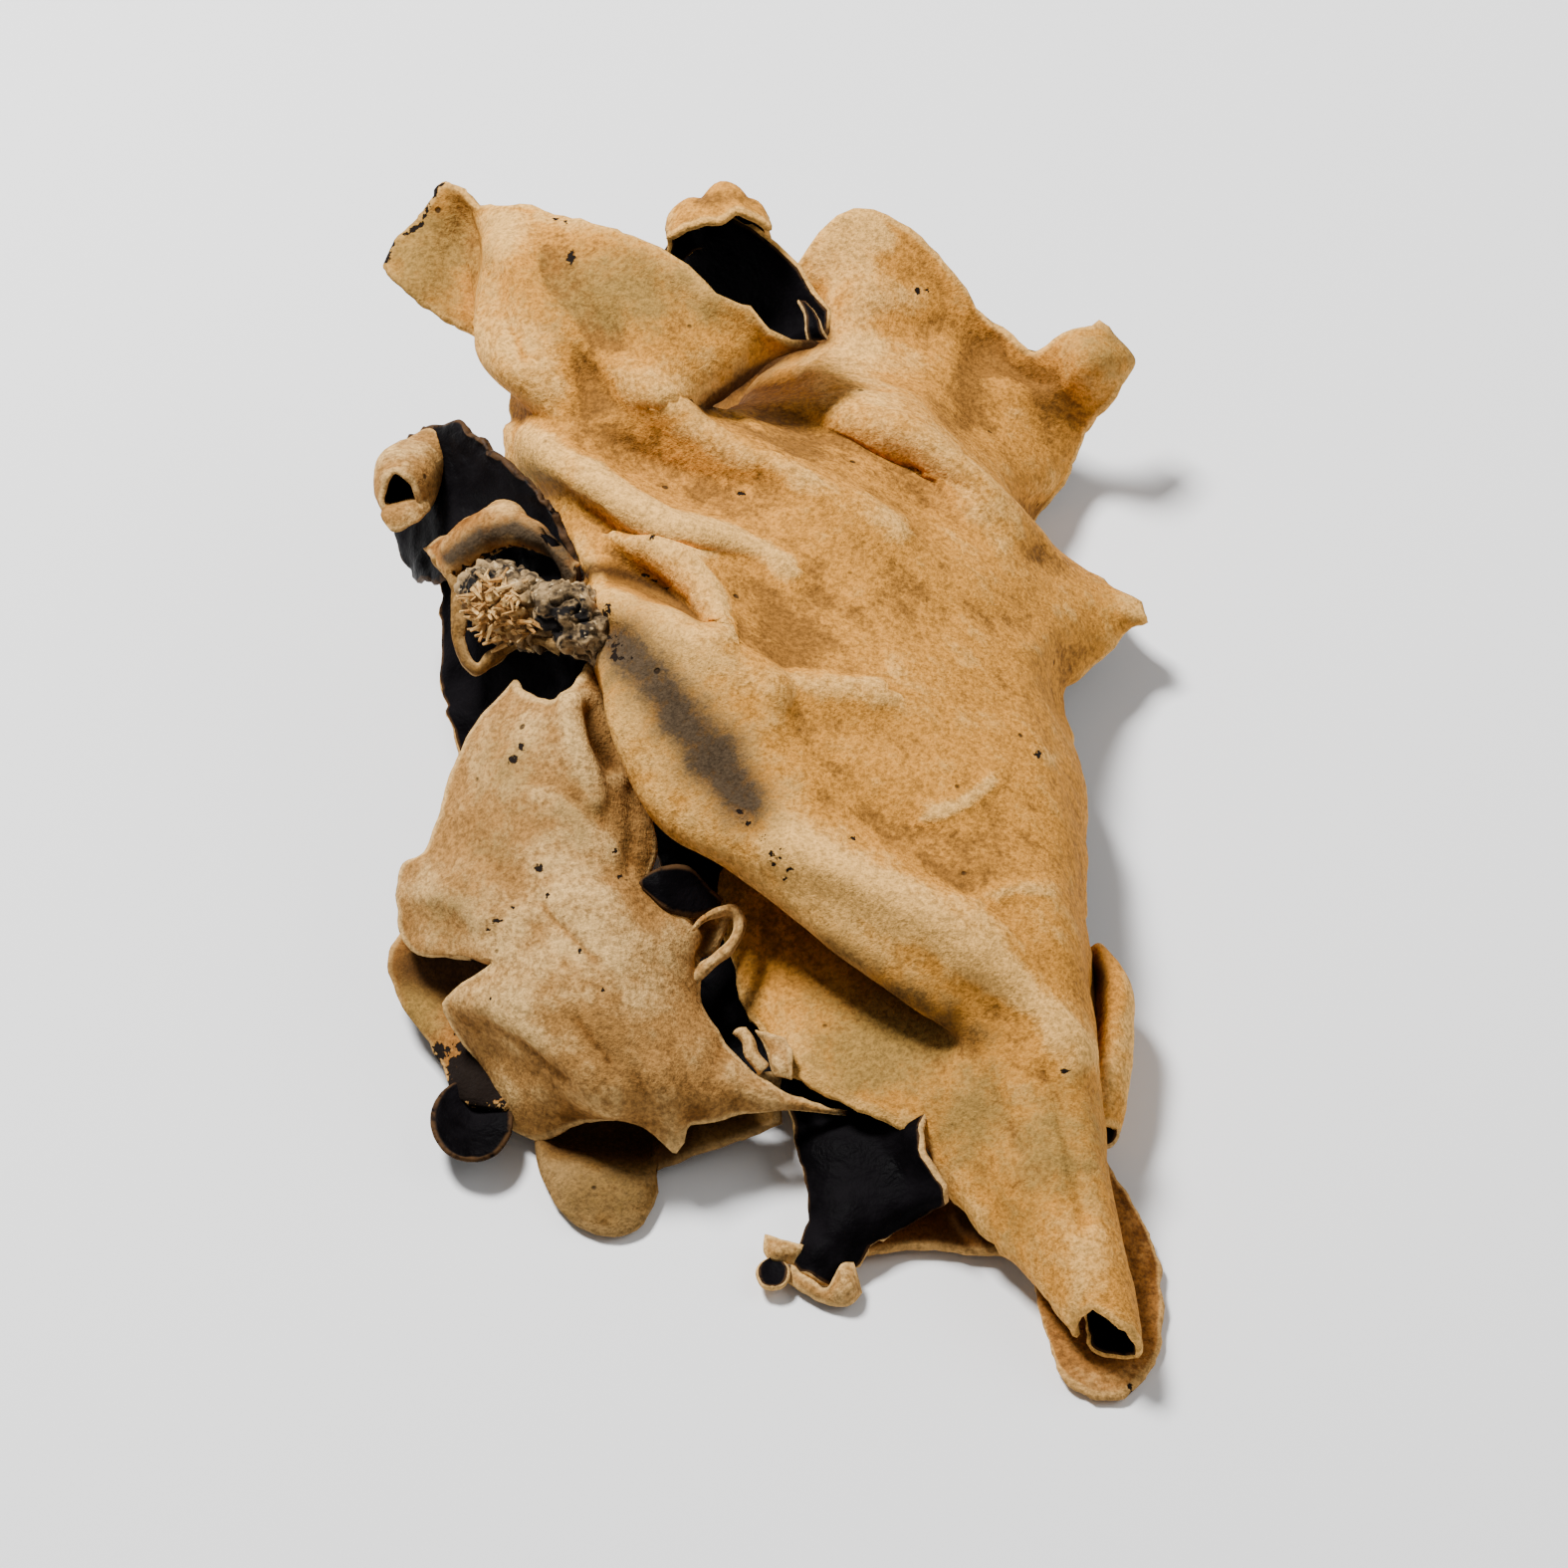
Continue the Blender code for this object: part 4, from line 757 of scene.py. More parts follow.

# Patches of the main sheet, as seen. The pale spot on the front layer's lit left wall and the pale lines
# along the crests are painted highlights; the warm line beside ridge A, the warm patch under the front
# layer's rim and the shade patches are painted shade
MAIN_MARKS = {
    "warm": [(-23, 46, 5, 2.5, 0.4), (-17, 44, 4, 2, 0.3), (-28.5, 59, 2.5, 4, 0.3),
             (-22, 57, 6, 4, 0.7), (-13, 56, 9, 4, 0.75), (-6, 55.5, 6, 2, 0.7), (26, 51, 7, 4, 0.8),
             # the warm line from (-8, 45.8) to (4, 41) is painted shade on the far side of ridge A
             (-24, 64, 10, 5, 0.9), ([(-8, 45.8), (-2, 43.4), (4, 41)], 1.5, 0.8),
             (33, 50, 5, 4, 0.9), (2, 17, 9, 3.5, 0.8), (12, 22, 9, 6, 0.3), (23, -10, 8, 4, 0.9),
             # the warm patch at (2, 49) is painted shade under the front layer's rim
             (10, 36, 6, 4, 0.4), (31, -50, 4, 3, 0.6), (2, 49, 7, 2.5, 0.5), (14, -30, 7, 5, 0.6),
             (34, 56, 3, 3, 0.5), (18, 46, 5, 2, 0.4)],
    # the pale spot at (-35, 68.5) is a painted highlight on the front layer's lit left wall
    "pale": [(-35, 68.5, 1.6, 2, 0.9), (-27, 71.3, 8, 1.0, 0.8), (11, 70, 4, 4, 0.7), (10, 54, 5, 3, 0.7),
             # the pale line along ridge B is a painted highlight
             (14, 61, 7, 5, 0.4), ([(-24, 38.5), (-19, 35), (-14, 32.5), (-7, 30), (0, 27)], 2.6, 1.0),
             (-31, 41, 2.5, 4, 0.7), (-14, 17, 7, 3, 0.5), (5, -9, 6, 3, 0.6), (33.5, 3, 1.1, 1.3, 1.0),
             (38, -60, 3, 10, 0.6), (-15, 63.5, 1.0, 1.2, 0.9), (-9, 63, 5, 2, 0.5),
             # the pale lines below, along the fold crests, the lower ridge, the hook and ridge A, are painted
             # highlights
             ([(18, -4.5), (22, -3), (26, 0)], 0.6, 0.9), ([(25, -15.5), (29, -13.5), (33, -14)], 0.6, 0.7),
             ([(0, -8), (10, -14), (22, -21), (33, -29), (37, -34)], 3.2, 1.0),
             ([(-8.4, 24), (-7.2, 21), (-7, 18)], 0.7, 0.8), ([(-20, 46), (-12, 40.5), (-4, 37)], 1.0, 0.5)],
    "smoke": [([(-20, 17.5), (-15, 11.5), (-10, 5), (-5, -2)], 4.6, 1.0), (-9, 3.5, 5.5, 5.5, 1.1),
              (-13.5, 9, 4.5, 5, 1.1), (43, 57.5, 2.2, 2.6, 0.9)],
    "khaki": [(-45, 66, 8, 9, 1.0), (41, 55, 5, 4, 0.7), (41, 23, 5, 4, 0.4), (34, -46, 7, 9, 0.9),
              (-3, -3, 5, 4, 0.4), (-21, 12, 4, 6, 0.5), (24, -42, 7, 8, 0.9), (12, -34, 11, 7, 1.1),
              (-20, 62, 12, 6, 0.95), (-9, 60, 6, 4, 0.7), (4, -28, 5, 4, 0.6), (30, -55, 4, 5, 0.5)],
    "shade": [([(5.2, 56.2), (0, 54), (-5, 51.5), (-10, 47.5)], 1.6, 1.2),
              ([(-26, 26.8), (-20, 26), (-15, 24.3), (-11, 20.8)], 1.3, 0.8),
              ([(6, -20), (16, -27), (25, -32)], 2.6, 0.6), (34.5, 58, 2, 1.5, 0.4)],
    "black_and_shadow": [([(-25, 23), (-22.5, 19), (-20.5, 15.5)], 2.0, 1.0),
             ([(-6, -3), (-3, -6.5), (1.5, -11)], 1.2, 0.75), (-22, 22, 1.5, 1.5, 0.8),
             ([(-51, 65), (-48.6, 68.5), (-45.4, 71), (-43.9, 75), (-42.4, 76.4)], 0.55, 1.2)],
}

dried_sheet("main_sheet", MAIN_ROWS, [warm_felt, black_skin], spacing=0.8, seed=1, rag=0.7, wrinkle=1.0,
            folds=MAIN_FOLDS, marks=MAIN_MARKS)


# Pale lobe. A smaller sheet from the same holdfast, at the lower left: rolled at its
# neck, curled at its right rim and arched at its bottom rim, with a round lip below.
LOBE_ROWS = [
    [(0, -33.6, 12.8, 27), (1, -32.7, 11.6, 28.5), (2, -31, 10.6, 30), (3, -29.3, 10.3, 31),
     (4, -27.8, 10.6, 31.5), (5, -26.9, 11.6, 32), (6, -26.4, 12.8, 32), (7, -25.6, 13.8, 32),
     (8, -24.6, 15.2, 31)],
    [(0, -37, 9, 25), (2, -33, 7, 29), (4, -28.5, 7.5, 31), (5, -26.5, 8.5, 32),
     (6.5, -24, 9, 30), (8, -22.7, 10, 27)],
    [(0, -40, 4.5, 23), (2, -35, 3, 27.5), (4, -29.5, 3.5, 30), (5, -26, 4.5, 31),
     (6, -23.5, 5, 28.5), (8, -19.7, 4.5, 24)],
    [(0, -42.5, -1, 21), (2, -36.5, -2, 25.5), (4, -30, -2, 28), (6, -24, -1, 27.5),
     (8, -18.2, -1, 22)],
    [(0, -45, -8.5, 18), (2, -38, -8, 23), (4, -31, -8, 26), (6, -24, -7, 26),
     (8, -16.2, -8.5, 20)],
    [(0, -48.3, -11, 15), (2, -41, -13, 21), (4, -32, -13, 24.5), (6, -24, -12.5, 25),
     (7, -19.5, -12.5, 22.5), (8, -17.3, -13.7, 20)],
    [(0, -48.4, -15, 13.4), (2, -41, -15.5, 19.8), (4, -31.5, -16, 23.8), (6, -23, -15.8, 24.4),
     (7, -17.8, -16.2, 21.6), (8, -13.2, -17, 19.5)],
    [(0, -48.4, -18.5, 12), (2, -40.5, -18, 18.5), (4, -31, -18.4, 23.2), (6, -22, -18.2, 23.7),
     (7, -14.5, -18, 20.4), (8, -7.2, -15.8, 17.5)],
    [(0, -46.6, -21.2, 12.2), (2, -38.6, -20.9, 18.2), (4, -30, -20.9, 22.6), (6, -21.5, -20.8, 23),
     (7, -15, -20.6, 20), (8, -8.2, -20, 16)],
    [(0, -36.8, -22.4, 18.4), (2, -33.4, -22.9, 20.3), (4, -28.8, -23.4, 22), (6, -21.3, -23.4, 22.3),
     (7, -15.5, -23.2, 19.4), (8, -10.8, -23.8, 15.2)],
    [(0, -42.6, -27.6, 12.5), (2, -36, -28, 16.8), (4, -29, -28.5, 19.9), (6, -21, -29, 20),
     (7, -14.5, -29, 17.5), (8, -9.7, -29, 14)],
    [(0, -39, -34.5, 6), (2, -34.5, -34, 11.5), (4, -28, -34, 16.5), (6, -20, -34.5, 17.5),
     (7, -13, -34.5, 15.5), (8, -5, -36, 12)],
    [(0, -36.2, -41.5, 2.5), (2, -32.5, -40, 7), (4, -27, -39.5, 11.5), (6, -19, -39.5, 14),
     (7, -10, -39, 13), (8, 0, -39, 10.5)],
    [(0, -34.5, -43.8, 1.5), (1.5, -30.5, -44.8, 2.8), (2.5, -27, -43.4, 5), (3.5, -22.5, -41.8, 8),
     (4.5, -19, -42, 9), (5.2, -15.6, -43.5, 7.8), (5.6, -13.5, -46.1, 6.8), (5.9, -12.9, -43.9, 8),
     (6.8, -9, -42.2, 9), (7.4, -2, -40.9, 9), (8, 8, -41.6, 8.5)],
]
LOBE_FOLDS = [
    ([(-27, 10), (-26.3, 6), (-25, 2), (-24, -2)], 1.5, 1.0, 0.8),
    ([(-25, 9), (-24, 5.5), (-22, 2)], 1.2, 1.2, -1.1),
    ([(-23, 11), (-21.5, 7), (-20, 3)], 1.2, 1.2, 0.6),
    ([(-33, -16), (-27, -15), (-21, -15)], 2.4, 2.0, 0.3),
    ([(-42, -27), (-37, -26.6), (-31, -28)], 1.6, 2.0, 0.4),
    ([(-38, -28), (-31, -32), (-25, -37), (-22, -41)], 1.8, 1.6, 0.5),
    ([(-13.4, -45.5), (-14, -41), (-16, -36)], 1.3, 1.3, 0.7),
    ([(-36, -34), (-29, -38), (-26, -42)], 1.6, 1.6, -0.5),
    ([(-18, -42), (-19, -37), (-21, -33)], 1.4, 1.4, -0.25),
    ([(-10.6, -17), (-9.2, -18.6), (-10.2, -22)], 1.2, 1.0, -1.5),
    ([(-40, -6), (-34, -12), (-31, -18)], 2.4, 2.4, -0.5),
    ([(-30, -15.5), (-27, -19), (-24, -22)], 0.8, 0.8, -0.4),
    ([(-37, -29.5), (-32, -33), (-27, -37)], 0.9, 0.9, -0.5),
    ([(-26, -30), (-22, -35)], 1.0, 1.0, -0.4),
    ([(-34, -1), (-28, -3), (-22, -8)], 2.0, 1.2, 0.4),
    ([(-20, -1), (-19.5, -6), (-20, -11)], 1.0, 1.0, -0.4),
    ([(-47, -14), (-42, -14), (-38, -17)], 1.4, 1.4, 0.5),
    ([(-8, -33), (-10, -38), (-6, -40)], 1.2, 1.2, -0.4),
]
LIP_ROWS = [
    [(0, -31.5, -38, 6.5), (1, -31.4, -42.5, 3.4), (1.6, -31.3, -45, 2), (2, -31, -46.5, 1.2)],
    [(0, -28, -38, 8), (1, -28.8, -45, 1.6), (1.6, -29.3, -48.8, 2.4), (2, -29.6, -51.5, 0.6)],
    [(0, -25, -38, 9), (1, -25.3, -45.5, 0.8), (1.6, -25.9, -51, 3), (2, -26.3, -55.7, 0.6)],
    [(0, -22, -38, 9), (1, -21.5, -45.5, 0.8), (1.6, -21.4, -51.5, 3), (2, -21.5, -57.1, 0.6)],
    [(0, -19, -38, 9), (1, -17.9, -45, 1), (1.6, -17.6, -50.5, 2.8), (2, -17.3, -55, 0.6)],
    [(0, -17.5, -38, 9), (1, -16.8, -44.5, 2), (1.6, -16.6, -48.6, 2.6), (2, -16, -51.8, 1.4)],
    [(0, -15, -37.8, 9), (1, -15.3, -43, 3), (1.6, -16, -46.6, 3), (2, -16.6, -49.4, 2)],
    [(0, -11, -37.5, 9), (1, -11.5, -42, 4), (2, -12.4, -47.2, 3)],
    [(0, -5, -37, 9), (1, -4.4, -41, 4.6), (2, -6, -45.1, 3.6)],
    [(0, -0.5, -36.5, 8), (1, -0.4, -39, 6), (2, -0.4, -42.8, 4.6)],
]
LOBE_SPECKS = [
    (-33.9, 2.7, 0.7, 0.6), (-32.8, 4.3, 0.4, 0.4), (-30.7, -11, 0.6, 0.7), (-35.8, -17.4, 1.0, 0.35),
    (-36.9, -18.4, 0.5, 0.3), (-34, -15.9, 0.35, 0.35), (-29.6, -14.3, 0.35, 0.4), (-23, -26.3, 0.35, 0.4),
    (-21.2, -12, 0.35, 0.4), (-25.8, -21.5, 0.3, 0.5), (-36.6, -27.2, 0.35, 0.3), (-21.8, -8.8, 0.3, 0.4)]
LOBE_MARKS = {
    "warm": [(-17, -37, 5, 4, 0.35), (-24, -30, 5, 4, 0.4), (-28, -36, 6, 3, 0.5), (-28, -41, 5, 2.5, 0.6),
             (-12, -41, 4, 2.5, 0.7), (-18, -13, 3, 5, 0.6), (-40, -30, 2.5, 3, 0.5), (-21, 12, 2, 3, 0.6)],
    "pale": [(-30, -21, 8, 5, 0.9), (-27, -12, 4, 5, 0.5), (-33, 6, 4, 5, 0.5), (-20, -21, 6, 4, 0.6),
             (-18, -27, 3, 3, 0.6), (-45, -12, 3, 3, 0.4), (-37, 2, 3, 6, 0.4), (-35, -39, 2, 5, 0.5)],
    "khaki": [(-34, 2, 5, 6, 0.55), (-27, -4, 5, 5, 0.5), (-42, -16, 5, 4, 0.6), (-36, -8, 4, 5, 0.4)],
    "shade": [([(-25, 8.5), (-24, 5.5), (-22.3, 2.5)], 1.2, 0.6), (-20.5, -33, 3, 3, 0.3),
              ([(-10.8, -17.6), (-9.3, -18.8), (-10.2, -21.5)], 1.2, 0.9)],
}
LIP_MARKS = {
    "shade": [([(-27, -43.5), (-21, -44.5), (-15, -44.5)], 4.2, 1.2), (-7, -41.5, 9, 3, 0.6)],
    "khaki": [(-23, -52, 9, 6, 0.7)],
}
pale_felt = felt_material("pale felt", specks=LOBE_SPECKS, Deep=(0.16, 0.066, 0.013),
                          Middle=(0.31, 0.150, 0.039), Pale=(0.56, 0.340, 0.120), Khaki=(0.23, 0.140, 0.042))
# A darker copy of the felt for the pieces that lie in shade: painted shade
shaded_brown_felt = felt_material("shaded brown felt", shift=-0.05, Deep=(0.12, 0.040, 0.006),
                           Middle=(0.28, 0.115, 0.024), Pale=(0.52, 0.29, 0.09))
# A much darker copy of the felt: painted shade for the lip, which lies under the lobe's arch; the hook leaf
# uses it too
lip_felt = felt_material("lip felt", Deep=(0.075, 0.030, 0.006), Middle=(0.155, 0.075, 0.017),
                         Pale=(0.34, 0.20, 0.07), Khaki=(0.135, 0.075, 0.019))

dried_sheet("pale_lobe", LOBE_ROWS, [pale_felt, black_skin], spacing=0.7, seed=21, rag=0.35, wrinkle=1.0,
            folds=LOBE_FOLDS, even=24, marks=LOBE_MARKS)
dried_sheet("lip", LIP_ROWS, [lip_felt, lip_felt], spacing=0.8, seed=31, rag=0.3, wrinkle=0.6,
            marks=LIP_MARKS, flip=True)

# A black leaf and a narrow loop where the lobe's right rim curls over
LEAF_ROWS = [
    [(0, -17.9, -12.2, 22.6), (1, -18, -12.7, 22.3), (2, -17.6, -13.4, 22)],
    [(0, -15.8, -10.7, 23.4), (1, -15.6, -12.8, 22.6), (2, -15, -15.6, 21.4)],
    [(0, -12.3, -10.6, 22.6), (1, -12.4, -13.4, 21.2), (2, -11.9, -16.6, 20)],
    [(0, -10, -12.3, 21), (1, -10, -14, 19.6), (2, -9.6, -16.2, 18.8)],
    [(0, -7.8, -14.6, 19), (1, -8.1, -15.2, 18.6), (2, -8.2, -15.9, 18)],
]
RIM_LOOP_ROWS = [
    [(0, -11.6, -18.4, 20), (1, -11.2, -17.8, 20.8), (2, -10.6, -17.2, 20.2)],
    [(0, -9.2, -17, 19.6), (1, -8.8, -16.3, 20.4), (2, -8.3, -15.6, 19.8)],
    [(0, -7, -16.9, 18.8), (1, -6.4, -16.2, 19.6), (2, -5.8, -15.6, 19)],
    [(0, -6.4, -18.3, 18.2), (1, -5.6, -18, 19), (2, -4.9, -17.8, 18.2)],
    [(0, -7.4, -20.2, 17.4), (1, -6.7, -20.5, 18.1), (2, -6, -20.7, 17.4)],
    [(0, -9.8, -22.2, 16.4), (1, -9.2, -22.7, 17.1), (2, -8.6, -23.1, 16.5)],
    [(0, -12, -23.6, 15.7), (1, -11.5, -24.3, 16.3), (2, -11, -25, 15.7)],
]
dried_sheet("right_leaf", LEAF_ROWS, [black_skin, black_skin], spacing=0.45, seed=33, rag=0.25, wrinkle=0.5,
            rim_wall=0.7)
dried_sheet("rim_loop", RIM_LOOP_ROWS, [pale_felt, shaded_brown_felt], spacing=0.3, seed=37, rag=0.25, wrinkle=0.5,
            rim_wall=0.4)


# Pocket layer and black cup at the pale lobe's left rim: one more thin layer of the
# same growth, and a small round one that shows its black inner skin.
POCKET_ROWS = [
    [(0, -44.5, -14, 13.5), (2, -40, -13, 16), (4, -34, -13, 20)],
    [(0, -48.5, -19, 8.5), (2, -42.5, -19, 10.5), (4, -34, -19, 14)],
    [(0, -49.8, -23, 6), (2, -43.5, -24, 8), (4, -34, -25, 11)],
    [(0, -47.8, -28, 4.8), (2, -43, -29, 6.5), (4, -34, -30, 8)],
    [(0, -44.3, -32.7, 3.8), (2, -41, -33.5, 5.4), (4, -34, -35, 6)],
    [(0, -42.5, -36.5, 3.6), (2, -39.5, -37.5, 5), (4, -34, -39, 5.4)],
    [(0, -41.5, -39.5, 3.4), (2, -39, -40.5, 4.4), (4, -35, -41, 4.8)],
]
POCKET_MARKS = {
    "shade": [(-42, -23.5, 7.5, 4, 1.3)],
    "khaki": [(-46, -28, 3.5, 6, 1.0)],
    # the black patch at (-38, -37) is painted shadow in the gap between the lobe and the cup
    "black_and_shadow": [(-38, -37, 4.5, 5, 2.4), (-43.2, -34.2, 1.1, 1.5, 1.7)],
}
CUP_SHARES = (0.99, 0.9, 0.5, 0.0, -0.5, -0.9, -0.99)


def cup_rows(across, up, height, radius, depth):
    """The rows of a round cup that faces the viewer."""
    rows = []
    for share in CUP_SHARES:
        half = radius * math.sqrt(1.0 - share * share)
        level = up + radius * share
        sink = depth * (1.0 - share * share)
        rows.append([(0, across - half, level, height), (1, across, level, height - sink),
                     (2, across + half, level, height)])
    return rows


dried_sheet("pocket", POCKET_ROWS, [shaded_brown_felt, black_skin], spacing=0.8, seed=41, rag=0.5, wrinkle=0.7,
            marks=POCKET_MARKS)
dried_sheet("cup", cup_rows(-39.4, -42.5, 4.4, radius=5.1, depth=1.8), [black_skin, black_skin],
            spacing=0.45, seed=43, rag=0.15, rim_wall=0.6)


# Inner sheets. The black sides that show behind the pale lobe's neck and between the
# lobes, and the layer folded back under the tail, which lies on the floor.
NECK_ROWS = [
    [(0, -43.8, 28, 21), (2, -36, 28.5, 26.5), (4, -27, 25.5, 30)],
    [(0, -43, 19, 20), (2, -35, 19.5, 26), (4, -24, 18, 31)],
    [(0, -42.7, 12, 18), (2, -35, 13, 22.5), (4, -25, 12, 28)],
    [(0, -41.8, 6.5, 17), (2, -34, 7, 20), (4, -26, 7, 25)],
    [(0, -40.5, 2, 15), (2, -33, 2, 18), (4, -26, 2, 23)],
]
HANGING_ROWS = [
    [(0, -19, -4, 18), (3, -13, -5, 20), (6, -6, -5, 22), (8, -2, -4, 25)],
    [(0, -15, -11, 12), (3, -10, -11.5, 13.5), (6, -4, -11, 14.5), (8, 0, -11, 16)],
    [(0, -13.5, -18, 9), (3, -8, -19, 10.5), (6, -3.5, -19, 11), (8, 2, -19, 11)],
    [(0, -11, -28, 7), (3, -6.5, -29, 8), (6, -1, -29, 7.5), (8, 6, -29, 9)],
    [(0, -6, -36, 6.5), (3, 0, -36.5, 6.5), (6, 9, -38, 6.5), (8, 20, -37, 8.5)],
    [(0, 0.6, -41, 5), (3, 8, -42, 7), (6, 14.5, -43.4, 9.5), (8, 17.5, -43.8, 11.8)],
    [(0, 2.2, -46.5, 3.8), (3, 8.5, -47.3, 6.4), (6, 15.5, -48, 8), (8, 19.2, -48.9, 10.4)],
    [(0, 3.2, -51, 3), (3, 8.2, -51.5, 5.6), (6, 15.5, -51.8, 6.6), (8, 20.6, -51.8, 8.8)],
    [(0, 3.7, -54.5, 2.6), (3, 7.3, -54.6, 5), (6, 13, -54.6, 5), (8, 17.8, -54.2, 4.2)],
    [(0, 2.7, -58.3, 1.8), (3, 5, -58.6, 3.4), (6, 8, -58.6, 3.2), (8, 10.6, -59, 2.2)],
    [(0, 1.6, -61, 1.0), (3, 3.2, -62, 1.8), (6, 4.8, -63, 1.6), (8, 6.4, -63.4, 0.9)],
]
FOOT_ROWS = [
    [(0, 12, -53, 2.6), (1, 10.2, -57, 1.8), (2, 8.5, -59.6, 1.4)],
    [(0, 17, -50, 3.4), (1, 16.3, -54.5, 1.8), (2, 16, -58.8, 1.3)],
    [(0, 24, -49, 5), (1, 24, -54, 3), (2, 24, -59, 1.6)],
    [(0, 29.5, -50, 4.8), (1, 30, -55.5, 2.6), (2, 30.5, -60.5, 1.2)],
    [(0, 32.5, -54, 4), (1, 32.7, -61, 2), (2, 33, -69.5, 0.9)],
    [(0, 35, -59, 3), (1, 35.5, -67, 1.2), (2, 36, -76.3, 0)],
    [(0, 38, -62, 2.4), (1, 39.5, -70, 0.8), (2, 41, -78.5, -0.4)],
    [(0, 40.5, -61, 2.4), (1, 43.3, -67.5, 1), (2, 46, -75, 0)],
    [(0, 41.3, -58, 3), (1, 44.5, -61.8, 1.8), (2, 47.6, -66, 1)],
    [(0, 40.2, -54, 4), (1, 43.4, -56.2, 2.8), (2, 46.6, -58.5, 1.8)],
    [(0, 38.5, -50, 5.2), (1, 41.2, -51.5, 4.2), (2, 43.8, -53, 3.2)],
    [(0, 36.8, -46.5, 6.5), (1, 38.7, -47.2, 6), (2, 40.6, -48, 5.5)],
]
FOOT_MARKS = {
    # the warm patch at (18, -57) and the shade patch at (25, -55) are painted shade on the layer under the
    # tail
    "warm": [(18, -57, 10, 3, 1.3), (46, -60, 2.5, 9, 0.6)],
    "shade": [(25, -55, 6, 3, 1.1)],
    "black_and_shadow": [([(35, -76.3), (40, -78.6), (45.5, -75.6)], 0.6, 0.9)],
}
dried_sheet("neck", NECK_ROWS, [shaded_brown_felt, black_skin], spacing=0.8, seed=51, rag=0.7, wrinkle=1.2,
            flip=True)
dried_sheet("hanging_sheet", HANGING_ROWS, [pale_felt, black_skin], spacing=0.7, seed=61, rag=0.6,
            wrinkle=1.3, flip=True)
dried_sheet("tail_foot", FOOT_ROWS, [shaded_brown_felt, shaded_brown_felt], spacing=0.7, seed=71, rag=0.5, wrinkle=0.6,
            marks=FOOT_MARKS, flip=True)

# Curled scraps of felt at the tip of the hanging sheet and at the edge beside the lobe
TIP_SCRAP_ROWS = [
    [(0, -2.4, -57, 2.4), (1, -0.2, -57.6, 3), (2, 2.4, -58.2, 3)],
    [(0, -2.6, -58.8, 2), (1, 0, -59, 3.2), (2, 2, -59.4, 2.6)],
    [(0, -2, -60.2, 1.4), (1, -0.4, -60.4, 2), (2, 1.4, -60.8, 1.8)],
]
TIP_FRINGE_ROWS = [
    [(0, 1.0, -60.8, 1.8), (1, 0.7, -61.8, 1.4), (2, 0.4, -63.2, 0.8)],
    [(0, 3.4, -62.6, 2), (1, 3, -63.6, 1.8), (2, 3, -64.8, 0.8)],
    [(0, 5.6, -63.7, 1.8), (1, 5.6, -64.8, 1.8), (2, 5.9, -66, 0.8)],
    [(0, 7.4, -60.8, 3.2), (1, 8, -63.5, 3), (2, 8.6, -65.9, 0.8)],
    [(0, 8.7, -60.6, 3), (1, 9.5, -62.6, 2.4), (2, 10, -64.6, 0.8)],
]
EDGE_SCRAP_ROWS = [
    [(0, -3.6, -31, 12.6), (1, -1.8, -31.5, 13.6), (2, 0.2, -32.2, 12.6)],
    [(0, -2.6, -32.8, 12.2), (1, -1.2, -33.3, 12.6), (2, 0.8, -33.6, 13.6)],
    [(0, -1.8, -35, 11.8), (1, -0.6, -35.4, 13), (2, 1.0, -36, 12.6)],
    [(0, -1.2, -36.8, 11.6), (1, -0.2, -37, 12.2), (2, 1.1, -37.4, 12)],
]
RIM_CURL_ROWS = [
    [(0, -6.4, -31.4, 13.2), (1, -5.8, -30.9, 14), (2, -4.9, -30.9, 13.4)],
    [(0, -5.2, -32.6, 13), (1, -4.6, -32.2, 14), (2, -3.7, -32.4, 13.2)],
    [(0, -4.6, -34.6, 12.6), (1, -4, -34.2, 13.6), (2, -3.2, -34, 12.8)],
    [(0, -3, -36.6, 12.2), (1, -2.5, -36, 13), (2, -1.9, -35.4, 12.4)],
]
TIP_RING_ROWS = cup_rows(-1.4, -61.9, 1.9, radius=2.0, depth=0.9)
SIDE_CUP_ROWS = cup_rows(40.3, -44.1, 6.4, radius=1.8, depth=0.7)
for name, rows, seed in (("tip_ring", TIP_RING_ROWS, 63), ("side_cup", SIDE_CUP_ROWS, 65)):
    dried_sheet(name, rows, [pale_felt, black_skin], spacing=0.3, seed=seed, rag=0.25, flip=True,
                rim_wall=0.7)
for name, rows, seed, turned in (
        ("tip_scrap", TIP_SCRAP_ROWS, 64, False), ("tip_fringe", TIP_FRINGE_ROWS, 66, True),
        ("edge_scrap", EDGE_SCRAP_ROWS, 68, False), ("rim_curl", RIM_CURL_ROWS, 70, False)):
    dried_sheet(name, rows, [pale_felt, black_skin], spacing=0.35, seed=seed, rag=0.3, wrinkle=0.7,
                flip=turned, rim_wall=0.35)


